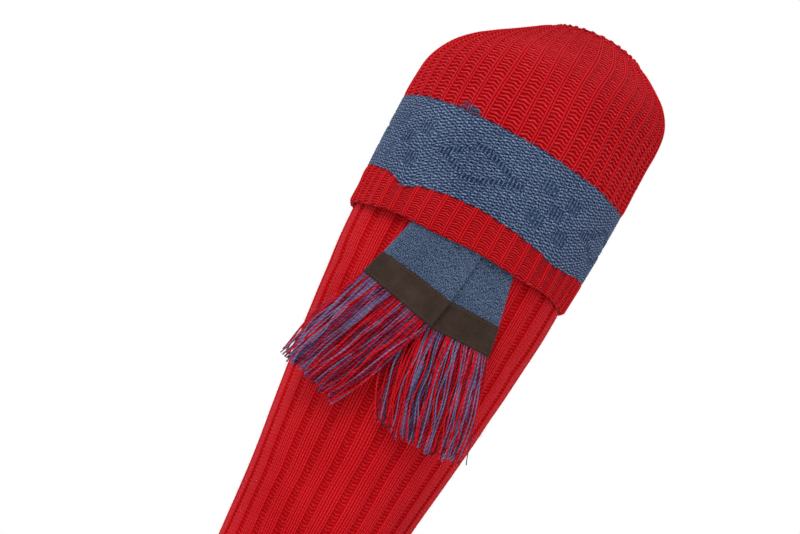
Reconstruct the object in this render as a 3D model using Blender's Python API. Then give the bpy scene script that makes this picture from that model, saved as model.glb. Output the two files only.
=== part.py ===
"""A ribbed wool stocking with a turnover cuff and a garter flash, filled out as if a leg were in it.

Sizes in the tables are in millimetres, and MM turns them into Blender's metres. +Z runs up the leg, the
flash hangs on the -Y side and the toe points to +X. The origin is on the leg's axis at the garter strap.
"""

import math
import random

import bmesh
import bpy
from mathutils import Vector

MM = 0.001
FULL_TURN = 2 * math.pi

# walls and gaps
SEAM_GAP = 0.3  # between pieces that are sewn together or lie on each other
LEG_WALL = 1.2  # behind a groove of the leg's ribs
CUFF_WALL = 1.2  # behind a groove of the cuff's ribs
BAND_WALL = 2.1
FOLD_WALL = 2.0  # the turned-in edge at the rim

# ribs: how many go round, and how far they stand out of the wall
LEG_RIBS = 24
LEG_RIB_DEPTH = 1.5
CUFF_RIBS = 42
CUFF_RIB_DEPTH = 1.1
FRONT = -FULL_TURN / 4  # the angle of the photographed side
LEG_RIB_CORNERS = ((-0.24, 1.0), (0.24, 1.0), (0.5, 0.0))  # place in the pitch, share of the depth
CUFF_RIB_CORNERS = ((0.22, 0.0), (0.5, 1.0), (0.78, 0.0))
LEG_INNER_POINTS = 30
CUFF_INNER_POINTS = 42
BAND_POINTS = 72

# heights of the cuff's seams
HEM = -25.3
HEM_ROUND = 0.7  # the hem's lower edge is rounded by this much
BAND_BOTTOM = -7.0
BAND_TOP = 31.0

# the cuff's outside, at the crests of its ribs, from the hem to the rim
# columns: height, radius, shift of the centre towards the toe side
CUFF = (
    (-25.3, 57.0, -0.4),
    (-16.0, 57.6, -0.3),
    (-7.0, 58.0, 0.0),
    (5.0, 58.2, 0.0),
    (18.0, 58.4, 0.2),
    (31.0, 58.7, 0.5),
    (43.0, 58.4, 0.8),
    (54.0, 57.6, 1.7),
    (63.5, 55.4, 4.3),
    (70.5, 52.0, 7.2),
    (76.8, 47.0, 10.2),
    (82.6, 41.0, 12.2),
    (87.3, 34.8, 12.9),
    (91.0, 29.6, 12.4),
    (93.6, 26.0, 11.6),
)
CUFF_DOME_ROW = 6  # the first row of CUFF above the band

# the leg's outside at the crests of its ribs, from the ankle up to where it follows the cuff
# columns: height, radius
LEG = (
    (-240.0, 35.6),
    (-210.0, 36.4),
    (-180.0, 38.3),
    (-150.0, 41.2),
    (-120.0, 44.9),
    (-90.0, 48.4),
    (-60.0, 51.4),
    (-34.0, 53.5),
    (-24.0, 53.8),
    (-14.0, 52.2),
    (14.0, 52.2),
    (38.0, 55.0),
)
LEG_DOME_ROW = 7  # from this row of CUFF the leg's top lies under the cuff, a gap inside it
LEG_DOME_END = -3  # the last rows of CUFF, where the leg turns up to the fold instead
LEG_UNDER_CUFF = 2.9  # how far the leg's outside lies inside the cuff's outside there
LEG_BELOW_CUFF = 1.7  # and how far below it

# the fold at the rim, over the last row of CUFF
RIM_OUTER = CUFF[-1][1]
RIM_SHIFT = CUFF[-1][2]
RIM_TOP = CUFF[-1][0] + 1.6
RIM_ROUND = 1.6  # the size of the fold's rounded corners
FOLD_INNER = RIM_OUTER - 5.2  # the radius of the mouth
FOLD_BOTTOM = CUFF[-1][0] - 7.0  # where the turned-in edge meets the leg's top
FOLD_THICK = 2.8  # of the fold's top

# the foot's outside, from the ankle to the toe, as sections that turn about the instep
# columns: x and height of the heel or sole point, x and height of the instep point, half width
FOOT = (
    (-35.2, -262.0, 36.8, -258.0, 34.9),
    (-36.8, -288.0, 40.6, -272.0, 34.3),
    (-41.0, -312.0, 47.0, -283.0, 33.9),
    (-43.2, -330.0, 53.5, -289.3, 33.8),
    (-40.6, -344.0, 61.0, -293.5, 34.0),
    (-31.8, -353.4, 71.0, -298.3, 34.5),
    (-14.0, -358.2, 83.5, -302.6, 35.4),
    (18.0, -359.5, 99.0, -307.5, 37.4),
    (60.0, -359.5, 121.0, -313.5, 40.2),
    (102.0, -359.5, 143.0, -318.5, 42.6),
    (140.0, -359.5, 165.0, -322.5, 43.2),
    (170.0, -359.0, 183.0, -326.5, 39.5),
    (190.0, -356.5, 196.5, -331.5, 31.0),
    (201.0, -351.8, 203.5, -337.5, 18.0),
)
TOE_END = (206.5, -344.8)
FOOT_WALL = 2.2
FOOT_RIB_FADE = 4  # the ribs run out over this many sections of the foot
DOME_RIB_FADE = 2  # and over this many of the leg under the dome

# the seams of the leg: the foot is sewn on at the ankle, and the top begins under the garter strap
ANKLE_SEAM = (-34.6, -250.0, 35.4, -250.0, 34.5)  # a section in FOOT's columns
TOP_SEAM = 0.0  # a height

# the cuff stands out over the flash: full out to one angle each side of the front, gone at the other
BULGE = 3.4
BULGE_FULL = math.radians(38)
BULGE_GONE = math.radians(76)
BULGE_TOP = 22.0  # the height where it begins

# the garter strap
STRAP_HALF_HEIGHT = 13.5
STRAP_THICK = 1.2
STRAP_POINTS = 72

# where tapes and fringe hang in front of the leg
# columns: height, distance of the surface from the axis at the front, radius of its curve
HANG = (
    (-140.0, 49.6, 100.0),
    (-120.0, 51.2, 94.0),
    (-95.0, 53.2, 85.0),
    (-65.0, 54.8, 72.0),
    (-45.0, 55.0, 62.0),
    (-25.0, 54.8, 56.0),
    (-14.0, 54.1, 54.8),
    (0.0, 53.9, 54.4),
)

# the two tapes of the flash, with their strips and fringes, in the order back to front
# distances down a tape are measured from the hem along its middle
TAPE_WIDTH = 42.0
TAPE_THICK = 1.2
STRIP_THICK = 0.9
STRIP_HEIGHT = 14.0
TAPE_TOP = -13.0
TAPE_END_IN_STRIP = 6.5  # how far the tape reaches down behind its strip
BACKING_HEIGHT = 4.6
ACROSS_STEPS = 8
FLASH = (
    dict(
        side="right",
        hem_x=5.0,
        lean=-9.8,
        strip_top=26.0,
        lift_at_hem=0.0,
        lift_at_strip=0.0,
        lift_at_tips=0.0,
        tip_left=(1.0, -112.0),
        tip_right=(45.0, -116.5),
        tip_sag=4.5,
        bow_left=-8.5,
        bow_right=2.5,
    ),
    dict(
        side="left",
        hem_x=-10.7,
        lean=13.5,
        strip_top=22.5,
        lift_at_hem=1.6,
        lift_at_strip=2.8,
        lift_at_tips=1.9,
        tip_left=(-54.0, -107.5),
        tip_right=(-19.0, -119.0),
        tip_sag=2.5,
        bow_left=-1.5,
        bow_right=3.0,
    ),
)
STRANDS = 30  # in each fringe
STRAND_STEPS = 3
STRAND_HALF_WIDTH = 0.42
STRAND_HALF_THICK = 0.45
STRAND_TIP_SHARE = 0.75  # of the root's width
STRAND_UNEVEN = 2.2  # how much a strand's end goes up or down
SEED = 11

# colour, roughness
FINISHES = {
    "red_wool": ((0.58, 0.012, 0.016), 0.9),
    "blue_wool": ((0.075, 0.12, 0.22), 0.92),
    "blue_tape": ((0.07, 0.12, 0.21), 0.9),
    "brown_suede": ((0.042, 0.026, 0.019), 0.85),
    "fringe_yarn": ((0.3, 0.03, 0.09), 0.75),
    "elastic": ((0.05, 0.08, 0.15), 0.8),
}


def clear_scene():
    for item in list(bpy.data.objects):
        bpy.data.objects.remove(item, do_unlink=True)


def finish_named(name):
    """The Principled material for one slot, made the first time it is asked for."""
    known = bpy.data.materials.get(name)
    if known:
        return known
    colour, roughness = FINISHES[name]
    material = bpy.data.materials.new(name)
    material.use_nodes = True
    shader = material.node_tree.nodes["Principled BSDF"]
    shader.inputs["Base Color"].default_value = (*colour, 1.0)
    shader.inputs["Roughness"].default_value = roughness
    shader.inputs["Metallic"].default_value = 0.0
    return material


def add_object(name, points, faces, finish):
    """One closed solid from points in millimetres, with its faces turned outward."""
    mesh = bpy.data.meshes.new(name)
    mesh.from_pydata([Vector(p) * MM for p in points], [], faces)
    shape = bmesh.new()
    shape.from_mesh(mesh)
    bmesh.ops.triangulate(shape, faces=shape.faces[:])
    bmesh.ops.recalc_face_normals(shape, faces=shape.faces[:])
    shape.to_mesh(mesh)
    shape.free()
    mesh.shade_smooth()
    mesh.set_sharp_from_angle(angle=math.radians(50))
    mesh.materials.append(finish_named(finish))
    item = bpy.data.objects.new(name, mesh)
    bpy.context.scene.collection.objects.link(item)
    return item


def read_table(table, height):
    """The columns after the first, read from a table at a height between its rows."""
    rows = sorted(table)
    if height <= rows[0][0]:
        return rows[0][1:]
    for low, high in zip(rows, rows[1:]):
        if height <= high[0]:
            share = (height - low[0]) / (high[0] - low[0])
            return tuple(a + (b - a) * share for a, b in zip(low[1:], high[1:]))
    return rows[-1][1:]


def ease(share):
    """0 to 1 with a soft start and end."""
    share = min(max(share, 0.0), 1.0)
    return share * share * (3 - 2 * share)


def round_section(height, radius, shift=0.0):
    """A level round section, in the same columns as FOOT."""
    return (shift - radius, height, shift + radius, height, radius)


def section_point(section, angle):
    back_x, back_z, front_x, front_z, half_width = section
    along = math.cos(angle)
    x = (back_x + front_x) / 2 + (front_x - back_x) / 2 * along
    z = (back_z + front_z) / 2 + (front_z - back_z) / 2 * along
    return Vector((x, half_width * math.sin(angle), z))


def wall_point(sections, row, angle, lift):
    """A point off the smooth surface through the sections, lifted along its normal."""
    step = 0.01
    before = sections[max(row - 1, 0)]
    after = sections[min(row + 1, len(sections) - 1)]
    here = section_point(sections[row], angle)
    round_way = section_point(sections[row], angle + step) - here
    up_way = section_point(after, angle) - section_point(before, angle)
    return here + round_way.cross(up_way).normalized() * lift


def rib_angles(count, corners):
    """Angles and shares of the rib's depth for every corner of the ribs round a tube."""
    pitch = FULL_TURN / count
    return [(FRONT + (rib + place) * pitch, share) for rib in range(count) for place, share in corners]


def plain_angles(count):
    return [(FRONT + FULL_TURN * k / count, 0.0) for k in range(count)]


def ribbed_ring(sections, row, angles, depth, lift=0.0):
    """A ring of points, with the ribs standing out by depth from a surface that is moved by lift."""
    return [(angle, wall_point(sections, row, angle, lift + depth * share)) for angle, share in angles]


def join_rings(faces, low, high):
    """Triangles between two rings of (angle, index), which may have different numbers of points."""
    i = j = 0
    while i < len(low) or j < len(high):
        low_next = low[(i + 1) % len(low)][0] + FULL_TURN * ((i + 1) // len(low))
        high_next = high[(j + 1) % len(high)][0] + FULL_TURN * ((j + 1) // len(high))
        a = low[i % len(low)][1]
        b = high[j % len(high)][1]
        if j >= len(high) or (i < len(low) and low_next <= high_next):
            faces.append((a, low[(i + 1) % len(low)][1], b))
            i += 1
        else:
            faces.append((a, high[(j + 1) % len(high)][1], b))
            j += 1


def skin(name, rings, finish, ends=None):
    """A closed wall through rings in order. It runs back to its first ring, or to a point at each end."""
    points = []
    faces = []
    numbered = []
    for ring in rings:
        first = len(points)
        points.extend(point for _, point in ring)
        numbered.append([(angle, first + k) for k, (angle, _) in enumerate(ring)])
    for low, high in zip(numbered, numbered[1:]):
        join_rings(faces, low, high)
    if ends is None:
        join_rings(faces, numbered[-1], numbered[0])
    else:
        for end, ring, turned in ((ends[0], numbered[0], True), (ends[1], numbered[-1], False)):
            tip = len(points)
            points.append(end)
            for k in range(len(ring)):
                a = ring[k][1]
                b = ring[(k + 1) % len(ring)][1]
                faces.append((b, a, tip) if turned else (a, b, tip))
    return add_object(name, points, faces, finish)


def bulge(point):
    """How far the cuff stands out at a point, over the flash."""
    off_front = abs(math.atan2(point[0], -point[1]))
    around = 1 - ease((off_front - BULGE_FULL) / (BULGE_GONE - BULGE_FULL))
    down = ease((BULGE_TOP - point[2]) / (BULGE_TOP - HEM))
    return BULGE * around * down


def over_flash(ring):
    """A ring of the cuff moved outward where it passes over the flash."""
    moved = []
    for angle, point in ring:
        outward = Vector((point[0], point[1], 0)).normalized()
        moved.append((angle, point + outward * bulge(point)))
    return moved


def cuff_sections(heights, inset):
    """Level sections of the cuff's outside at some heights, all moved in by inset."""
    found = []
    for height in heights:
        radius, shift = read_table(CUFF, height)
        found.append(round_section(height, radius - inset, shift))
    return found


def cuff_tube(name, heights, ribbed, finish, soft_edge=0.0):
    """One level stretch of the cuff: outside up, inside down. soft_edge rounds its lower edge."""
    depth = CUFF_RIB_DEPTH if ribbed else 0.0
    wall = CUFF_WALL if ribbed else BAND_WALL
    angles = rib_angles(CUFF_RIBS, CUFF_RIB_CORNERS) if ribbed else plain_angles(BAND_POINTS)
    sections = cuff_sections(heights, depth)
    outside = [ribbed_ring(sections, row, angles, depth) for row in range(len(sections))]
    plain = plain_angles(CUFF_INNER_POINTS)
    inside = [ribbed_ring(sections, row, plain, 0, -wall) for row in range(len(sections))]
    if soft_edge:
        lower = cuff_sections([heights[0] - soft_edge], depth)
        outside.insert(0, ribbed_ring(lower, 0, angles, 0))
    rings = [over_flash(ring) for ring in outside + inside[::-1]]
    return skin(name, rings, finish)


def build_cuff_hem():
    heights = [HEM + HEM_ROUND, -16.0, BAND_BOTTOM - SEAM_GAP / 2]
    return cuff_tube("cuff_hem", heights, True, "red_wool", soft_edge=HEM_ROUND)


def build_cuff_band():
    heights = [BAND_BOTTOM + SEAM_GAP / 2, 4.0, 15.0, BAND_TOP - SEAM_GAP / 2]
    return cuff_tube("cuff_band", heights, False, "blue_wool")


def dome_sections():
    """The groove level of the cuff above the band, up to the rim."""
    start_radius, start_shift = read_table(CUFF, BAND_TOP + SEAM_GAP / 2)
    first = round_section(BAND_TOP + SEAM_GAP / 2, start_radius - CUFF_RIB_DEPTH, start_shift)
    rest = [
        round_section(height, radius - CUFF_RIB_DEPTH, shift)
        for height, radius, shift in CUFF[CUFF_DOME_ROW:]
    ]
    return [first] + rest


def rim_ring(angles, radius, height):
    """A level ring about the middle of the mouth."""
    section = round_section(height, radius, RIM_SHIFT)
    return [(angle, section_point(section, angle)) for angle, _ in angles]


def build_cuff_upper():
    """The ribbed dome, the fold at the rim and the short turned-in edge that meets the leg's top."""
    sections = dome_sections()
    ribs = rib_angles(CUFF_RIBS, CUFF_RIB_CORNERS)
    plain = plain_angles(CUFF_INNER_POINTS)
    outside = [ribbed_ring(sections, row, ribs, CUFF_RIB_DEPTH) for row in range(len(sections))]
    fold = [
        rim_ring(plain, RIM_OUTER - RIM_ROUND, RIM_TOP),
        rim_ring(plain, FOLD_INNER + RIM_ROUND, RIM_TOP),
        rim_ring(plain, FOLD_INNER, RIM_TOP - RIM_ROUND),
        rim_ring(plain, FOLD_INNER, FOLD_BOTTOM),
        rim_ring(plain, FOLD_INNER + FOLD_WALL, FOLD_BOTTOM),
        rim_ring(plain, FOLD_INNER + FOLD_WALL, RIM_TOP - RIM_ROUND - FOLD_THICK),
    ]
    inside = [ribbed_ring(sections, row, plain, 0, -CUFF_WALL) for row in range(len(sections) - 1)]
    rings = [over_flash(ring) for ring in outside + fold + inside[::-1]]
    return skin("cuff_upper", rings, "red_wool")


def raised(section, rise):
    """The same section at another height."""
    back_x, back_z, front_x, front_z, half_width = section
    return (back_x, back_z + rise, front_x, front_z + rise, half_width)


def foot_rows():
    """Section at the grooves, depth of the ribs and wall, from the toe up to the ankle's seam."""
    rows = []
    for place in range(len(FOOT) - 1, -1, -1):
        depth = LEG_RIB_DEPTH * ease((FOOT_RIB_FADE - 1 - place) / FOOT_RIB_FADE)
        rows.append((FOOT[place], depth, FOOT_WALL))
    rows.append((raised(ANKLE_SEAM, -SEAM_GAP / 2), LEG_RIB_DEPTH, LEG_WALL))
    return rows


def leg_rows():
    """The same from the ankle's seam up to the seam under the strap."""
    rows = [(raised(ANKLE_SEAM, SEAM_GAP / 2), LEG_RIB_DEPTH, LEG_WALL)]
    top = TOP_SEAM - SEAM_GAP / 2
    heights = [height for height, _ in LEG if height < top] + [top]
    for height in heights:
        section = round_section(height, read_table(LEG, height)[0] - LEG_RIB_DEPTH)
        rows.append((section, LEG_RIB_DEPTH, LEG_WALL))
    return rows


def top_rows():
    """The same from that seam up under the dome, where the ribs have run out."""
    start = TOP_SEAM + SEAM_GAP / 2
    heights = [start] + [height for height, _ in LEG if height > start]
    rows = []
    for place, height in enumerate(heights):
        section = round_section(height, read_table(LEG, height)[0] - LEG_RIB_DEPTH)
        depth = LEG_RIB_DEPTH * ease((len(heights) - place) / DOME_RIB_FADE)
        rows.append((section, depth, LEG_WALL))
    for height, radius, shift in CUFF[LEG_DOME_ROW:LEG_DOME_END]:
        section = round_section(height - LEG_BELOW_CUFF, radius - LEG_UNDER_CUFF, shift)
        rows.append((section, 0.0, LEG_WALL))
    return rows


def leg_walls(rows):
    """The rings of the ribbed outside and of the plain inside, both in the order of the rows."""
    sections = [section for section, _, _ in rows]
    ribs = rib_angles(LEG_RIBS, LEG_RIB_CORNERS)
    plain = plain_angles(LEG_INNER_POINTS)
    outside = [ribbed_ring(sections, row, ribs, depth) for row, (_, depth, _) in enumerate(rows)]
    inside = [ribbed_ring(sections, row, plain, 0, -wall) for row, (_, _, wall) in enumerate(rows)]
    return outside, inside


def build_foot():
    outside, inside = leg_walls(foot_rows())
    toe_x, toe_z = TOE_END
    ends = (Vector((toe_x, 0, toe_z)), Vector((toe_x - FOOT_WALL, 0, toe_z)))
    return skin("foot", outside + inside[::-1], "red_wool", ends)


def build_leg():
    outside, inside = leg_walls(leg_rows())
    # the plain inside needs only every second row and both edges
    inside = [ring for row, ring in enumerate(inside) if row % 2 == 0 or row == len(inside) - 1]
    return skin("leg", outside + inside[::-1], "red_wool")


def build_leg_top():
    """The top's edge comes up under the rim's turned-in edge."""
    outside, inside = leg_walls(top_rows())
    plain = plain_angles(LEG_INNER_POINTS)
    edge_height = FOLD_BOTTOM - SEAM_GAP
    edge = [rim_ring(plain, FOLD_INNER + FOLD_WALL, edge_height), rim_ring(plain, FOLD_INNER, edge_height)]
    return skin("leg_top", outside + edge + inside[::-1], "red_wool")


def build_garter_strap():
    heights = (-STRAP_HALF_HEIGHT, STRAP_HALF_HEIGHT)
    angles = plain_angles(STRAP_POINTS)
    rings = []
    for lift, order in ((SEAM_GAP + STRAP_THICK, heights), (SEAM_GAP, heights[::-1])):
        for height in order:
            radius = read_table(LEG, height)[0] + lift
            section = round_section(height, radius)
            rings.append([(angle, section_point(section, angle)) for angle, _ in angles])
    return skin("garter_strap", rings, "elastic")


def hang_point(x, height, lift):
    """A point of the surface on which tapes and fringe hang, lifted outward from the leg."""
    front, curve = read_table(HANG, height)
    radius = curve + lift
    drop = radius - math.sqrt(radius * radius - x * x)
    return Vector((x, -(front + lift - drop), height))


def tape_place(tape, across, down):
    """x and height of a place on a tape, from its middle line and from the hem."""
    lean = math.radians(tape["lean"])
    x = tape["hem_x"] - math.sin(lean) * down + math.cos(lean) * across
    height = HEM - math.cos(lean) * down - math.sin(lean) * across
    return x, height


def tape_lift(tape, down):
    """How far a tape's back lies out from the hanging surface, at a distance down from the hem."""
    share = ease(down / tape["strip_top"])
    return tape["lift_at_hem"] + (tape["lift_at_strip"] - tape["lift_at_hem"]) * share


def slab(name, tape, downs, low, high, finish):
    """A flat piece on a tape, from one lift above the tape's back to another."""
    points = []
    faces = []
    columns = ACROSS_STEPS + 1
    for lift in (low, high):
        for down in downs:
            for k in range(columns):
                across = TAPE_WIDTH * (k / ACROSS_STEPS - 0.5)
                x, height = tape_place(tape, across, down)
                points.append(hang_point(x, height, tape_lift(tape, down) + lift))
    layer = len(downs) * columns

    def at(side, row, column):
        return side * layer + row * columns + column

    for side in (0, 1):
        for row in range(len(downs) - 1):
            for k in range(ACROSS_STEPS):
                quad = (at(side, row, k), at(side, row, k + 1), at(side, row + 1, k + 1), at(side, row + 1, k))
                faces.append(quad if side else quad[::-1])
    for row in (0, len(downs) - 1):
        for k in range(ACROSS_STEPS):
            faces.append((at(0, row, k), at(0, row, k + 1), at(1, row, k + 1), at(1, row, k)))
    for column in (0, ACROSS_STEPS):
        for row in range(len(downs) - 1):
            faces.append((at(0, row, column), at(0, row + 1, column), at(1, row + 1, column), at(1, row, column)))
    return add_object(name, points, faces, finish)


def strand_path(tape, across, root_down, share, chance):
    """x and height of a strand's points from its root in the backing to its end."""
    root = Vector(tape_place(tape, across, root_down))
    left = Vector(tape["tip_left"])
    right = Vector(tape["tip_right"])
    tip = left.lerp(right, share)
    tip.y -= tape["tip_sag"] * math.sin(math.pi * share) + chance.uniform(-1, 1) * STRAND_UNEVEN
    bow = tape["bow_left"] + (tape["bow_right"] - tape["bow_left"]) * share
    middle = root.lerp(tip, 0.5) + Vector((bow, 0))
    path = []
    for step in range(STRAND_STEPS + 1):
        t = step / STRAND_STEPS
        path.append(root * (1 - t) ** 2 + middle * 2 * t * (1 - t) + tip * t * t)
    return path


def build_fringe(tape):
    """A narrow backing behind the strip, with the strands drawn out of its lower face."""
    chance = random.Random(SEED + len(tape["side"]))
    top_down = tape["strip_top"] + TAPE_END_IN_STRIP + SEAM_GAP
    root_down = top_down + BACKING_HEIGHT
    middle_lift = tape["lift_at_strip"] + TAPE_THICK / 2
    points = []
    faces = []

    def add(x, height, lift):
        points.append(hang_point(x, height, lift))
        return len(points) - 1

    # stations across the backing: its two ends and both sides of each strand
    pitch = TAPE_WIDTH / STRANDS
    centres = [-TAPE_WIDTH / 2 + pitch * (k + 0.5) for k in range(STRANDS)]
    stations = [-TAPE_WIDTH / 2]
    for centre in centres:
        stations.extend((centre - STRAND_HALF_WIDTH, centre + STRAND_HALF_WIDTH))
    stations.append(TAPE_WIDTH / 2)
    columns = []
    for across in stations:
        corners = []
        for down, side in ((top_down, -1), (top_down, 1), (root_down, 1), (root_down, -1)):
            x, height = tape_place(tape, across, down)
            corners.append(add(x, height, middle_lift + side * STRAND_HALF_THICK))
        columns.append(corners)
    faces.append(tuple(columns[0]))
    faces.append(tuple(columns[-1]))
    for k, (a, b) in enumerate(zip(columns, columns[1:])):
        for edge in range(3):
            if edge != 2 or k % 2 == 0:
                faces.append((a[edge], a[edge + 1], b[edge + 1], b[edge]))
        faces.append((a[3], a[0], b[0], b[3]))

    for k, across in enumerate(centres):
        share = k / (STRANDS - 1)
        path = strand_path(tape, across, root_down, share, chance)
        left = columns[2 * k + 1]
        right = columns[2 * k + 2]
        ring = (left[3], right[3], right[2], left[2])
        for step in range(1, STRAND_STEPS + 1):
            t = step / STRAND_STEPS
            ahead = path[min(step + 1, STRAND_STEPS)] - path[step - 1]
            across_way = Vector((-ahead.y, ahead.x)).normalized()
            size = 1 - (1 - STRAND_TIP_SHARE) * t
            lift = middle_lift + (tape["lift_at_tips"] - tape["lift_at_strip"]) * ease(t)
            new = []
            for way, side in ((-1, -1), (1, -1), (1, 1), (-1, 1)):
                place = path[step] + across_way * way * STRAND_HALF_WIDTH * size
                new.append(add(place.x, place.y, lift + side * STRAND_HALF_THICK * size))
            for e in range(4):
                faces.append((ring[e], ring[(e + 1) % 4], new[(e + 1) % 4], new[e]))
            ring = new
        faces.append(tuple(ring))
    return add_object("fringe_" + tape["side"], points, faces, "fringe_yarn")


def build_flash():
    for tape in FLASH:
        side = tape["side"]
        strip_top = tape["strip_top"]
        tape_end = strip_top + TAPE_END_IN_STRIP
        downs = [TAPE_TOP, -6.0, 1.5, 9.0, 16.0, strip_top, tape_end]
        slab("tail_" + side, tape, downs, 0.0, TAPE_THICK, "blue_tape")
        strip_low = TAPE_THICK + SEAM_GAP
        strip_downs = [strip_top, strip_top + STRIP_HEIGHT / 2, strip_top + STRIP_HEIGHT]
        slab("strip_" + side, tape, strip_downs, strip_low, strip_low + STRIP_THICK, "brown_suede")
        build_fringe(tape)


def build():
    clear_scene()
    build_foot()
    build_leg()
    build_leg_top()
    build_cuff_upper()
    build_cuff_band()
    build_cuff_hem()
    build_garter_strap()
    build_flash()


build()
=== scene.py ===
"""The looks of a ribbed wool stocking with a turnover cuff and a garter flash.

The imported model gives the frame. The knitted pieces are thin shells on its forms, with stitches in the
mesh and in the materials from one set of formulas. Sizes are in millimetres, and MM turns them into metres.
Places round the leg are counted from the photographed side towards the toe side.
"""

import math
import random
from functools import partial

import bpy
import numpy as np
from mathutils import Matrix, Vector


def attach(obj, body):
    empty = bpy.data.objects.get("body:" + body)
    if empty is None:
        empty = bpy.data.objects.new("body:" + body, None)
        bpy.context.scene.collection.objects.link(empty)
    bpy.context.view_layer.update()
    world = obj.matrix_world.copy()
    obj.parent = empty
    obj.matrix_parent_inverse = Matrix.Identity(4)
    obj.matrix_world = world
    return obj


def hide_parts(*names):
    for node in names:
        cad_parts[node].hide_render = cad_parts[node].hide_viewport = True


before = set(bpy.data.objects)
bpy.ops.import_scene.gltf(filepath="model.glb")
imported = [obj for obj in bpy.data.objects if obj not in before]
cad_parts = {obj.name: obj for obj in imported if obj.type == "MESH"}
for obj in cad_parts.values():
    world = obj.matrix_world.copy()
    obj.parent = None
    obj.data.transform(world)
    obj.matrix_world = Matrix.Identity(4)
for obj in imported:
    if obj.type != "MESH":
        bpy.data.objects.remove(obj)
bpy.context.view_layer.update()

MM = 0.001
TAU = 2 * math.pi
FRONT = -TAU / 4
SEED = 5

# the cuff's outside at the crests of its ribs
# columns: height, radius, shift of the centre towards the toe side
CUFF = (
    (-25.3, 57.0, -0.4), (-16.0, 57.6, -0.3), (-7.0, 58.0, 0.0), (5.0, 58.6, 0.2), (18.0, 58.8, 0.3),
    (31.0, 59.0, 0.5), (43.0, 58.9, 0.8), (54.0, 58.2, 1.5), (63.5, 56.1, 4.0), (70.5, 52.7, 6.9),
    (76.8, 47.5, 10.0), (82.6, 41.1, 12.2), (87.4, 34.5, 12.6), (91.4, 28.6, 12.4), (94.2, 23.8, 12.4),
)
CUFF_MIDDLE = 57.0  # the radius at which sideways millimetres become angles
HEM = -25.3
BAND_BOTTOM = -7.0
BAND_TOP = 31.0
CUFF_RIBS = 42
CUFF_RIB_DEPTH = 1.1
CUFF_WALL = 1.2
BAND_WALL = 2.1
BAND_INSET = 0.35  # how far the middle of the band's stitches lies inside the crests
SEAM_GAP = 0.3
SEAM_LAP = 0.5  # how far the red knitting reaches behind the band at both seams
SEAM_SINK = 0.55  # how far it sinks in there

# the fold at the rim and the turned-in edge, in the columns of CUFF but at the grooves
RIM = (
    (95.2, 22.5, 12.2), (95.4, 21.9, 12.1), (94.9, 21.5, 11.9),
    (93.6, 21.2, 11.7), (90.0, 21.1, 11.6), (86.6, 21.1, 11.6),
)
# the inner side of that edge, up from its end, until it meets the inside of the dome
RIM_BACK = ((86.6, 22.8, 11.6), (91.4, 22.8, 11.6))
RIM_RISE = 1.9  # how much higher the rim is at the front
RIM_RISE_FROM = 79.0
RIM_RISE_OVER = 15.0

# the cuff stands out over the flash
BULGE = 3.4
BULGE_FULL = math.radians(38)
BULGE_GONE = math.radians(76)
BULGE_TOP = 22.0

# the ribs are wider apart on the left of the dome, and closer at the front of the band and hem
RIB_SPREAD = 0.066
RIB_CLOSE = 0.09
BAND_CLOSE = 0.11
HEM_CLOSE = 0.19

SEAM_RUN_OUT = 34.0  # how far up the dome the rows still follow the band's seam

# how the band's two seams run round: angle from the front in degrees, rise
BAND_TOP_RUN = ((-180, 0.0), (-80, -0.4), (-40, 0.35), (0, -0.4), (40, -2.0), (62, -3.1), (90, -2.8))
BAND_BOTTOM_RUN = (
    (-180, 0.0), (-80, 1.3), (-55, -0.4), (-38, -4.8), (-28, -1.8), (-15, -0.4), (-2, 0.1),
    (15, -1.2), (28, -2.8), (41, -5.0), (52, -4.2), (66, -2.2), (90, -0.8),
)

# the leg's outside at the crests of its ribs: height, radius
LEG = (
    (-250.0, 36.0), (-240.0, 35.7), (-210.0, 36.6), (-180.0, 38.6), (-150.0, 41.2), (-120.0, 45.1),
    (-90.0, 48.8), (-60.0, 51.9), (-34.0, 54.1), (-24.0, 54.2), (-14.0, 52.2), (0.0, 52.2),
    (14.0, 52.2), (38.0, 55.0),
)
TOP_SEAM = 0.0
TOP_SEAM_RADIUS = 52.2
LEG_RIBS = 24
LEG_RIB_DEPTH = 1.5
LEG_WALL = 1.2
LEG_RIB_END = 48.0  # the height under the dome where the leg's ribs have run out
LEG_RIB_FADE = 34.0  # and how much height they take to do so

# the leg's top under the dome, inside the cuff: height, radius, shift
LEG_TOP = (
    (52.3, 54.7, 1.7), (61.8, 52.5, 4.3), (68.8, 49.1, 7.2), (75.1, 44.1, 10.2),
    (80.9, 38.1, 12.2), (86.1, 22.8, 11.6), (86.3, 20.8, 11.6),
)

# the foot's outside at the grooves, as sections that turn about the instep
# columns: x and height of the heel or sole point, x and height of the instep point, half width
FOOT = (
    (-34.5, -250.15, 34.5, -250.15, 34.5), (-35.1, -262.0, 36.3, -258.0, 34.8),
    (-36.8, -288.0, 40.6, -272.0, 34.3), (-41.0, -312.0, 47.0, -283.0, 33.9),
    (-43.2, -330.0, 53.5, -289.3, 33.8), (-40.6, -344.0, 61.0, -293.5, 34.0),
    (-31.8, -353.4, 71.0, -298.3, 34.5), (-14.0, -358.2, 83.5, -302.6, 35.4),
    (18.0, -359.5, 99.0, -307.5, 37.4), (60.0, -359.5, 121.0, -313.5, 40.2),
    (102.0, -359.5, 143.0, -318.5, 42.6), (140.0, -359.5, 165.0, -322.5, 43.2),
    (170.0, -359.0, 183.0, -326.5, 39.5), (190.0, -356.5, 196.5, -331.5, 31.0),
    (201.0, -351.8, 203.5, -337.5, 18.0), (204.6, -349.3, 205.3, -340.6, 10.5),
    (206.0, -346.6, 206.2, -343.1, 4.0),
)
TOE_TIP = (206.5, 0.0, -344.8)
FOOT_WALL = 2.2
ANKLE = -250.0
FOOT_RIB_END = -300.0  # the height of the heel point where the ribs have run out
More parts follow.
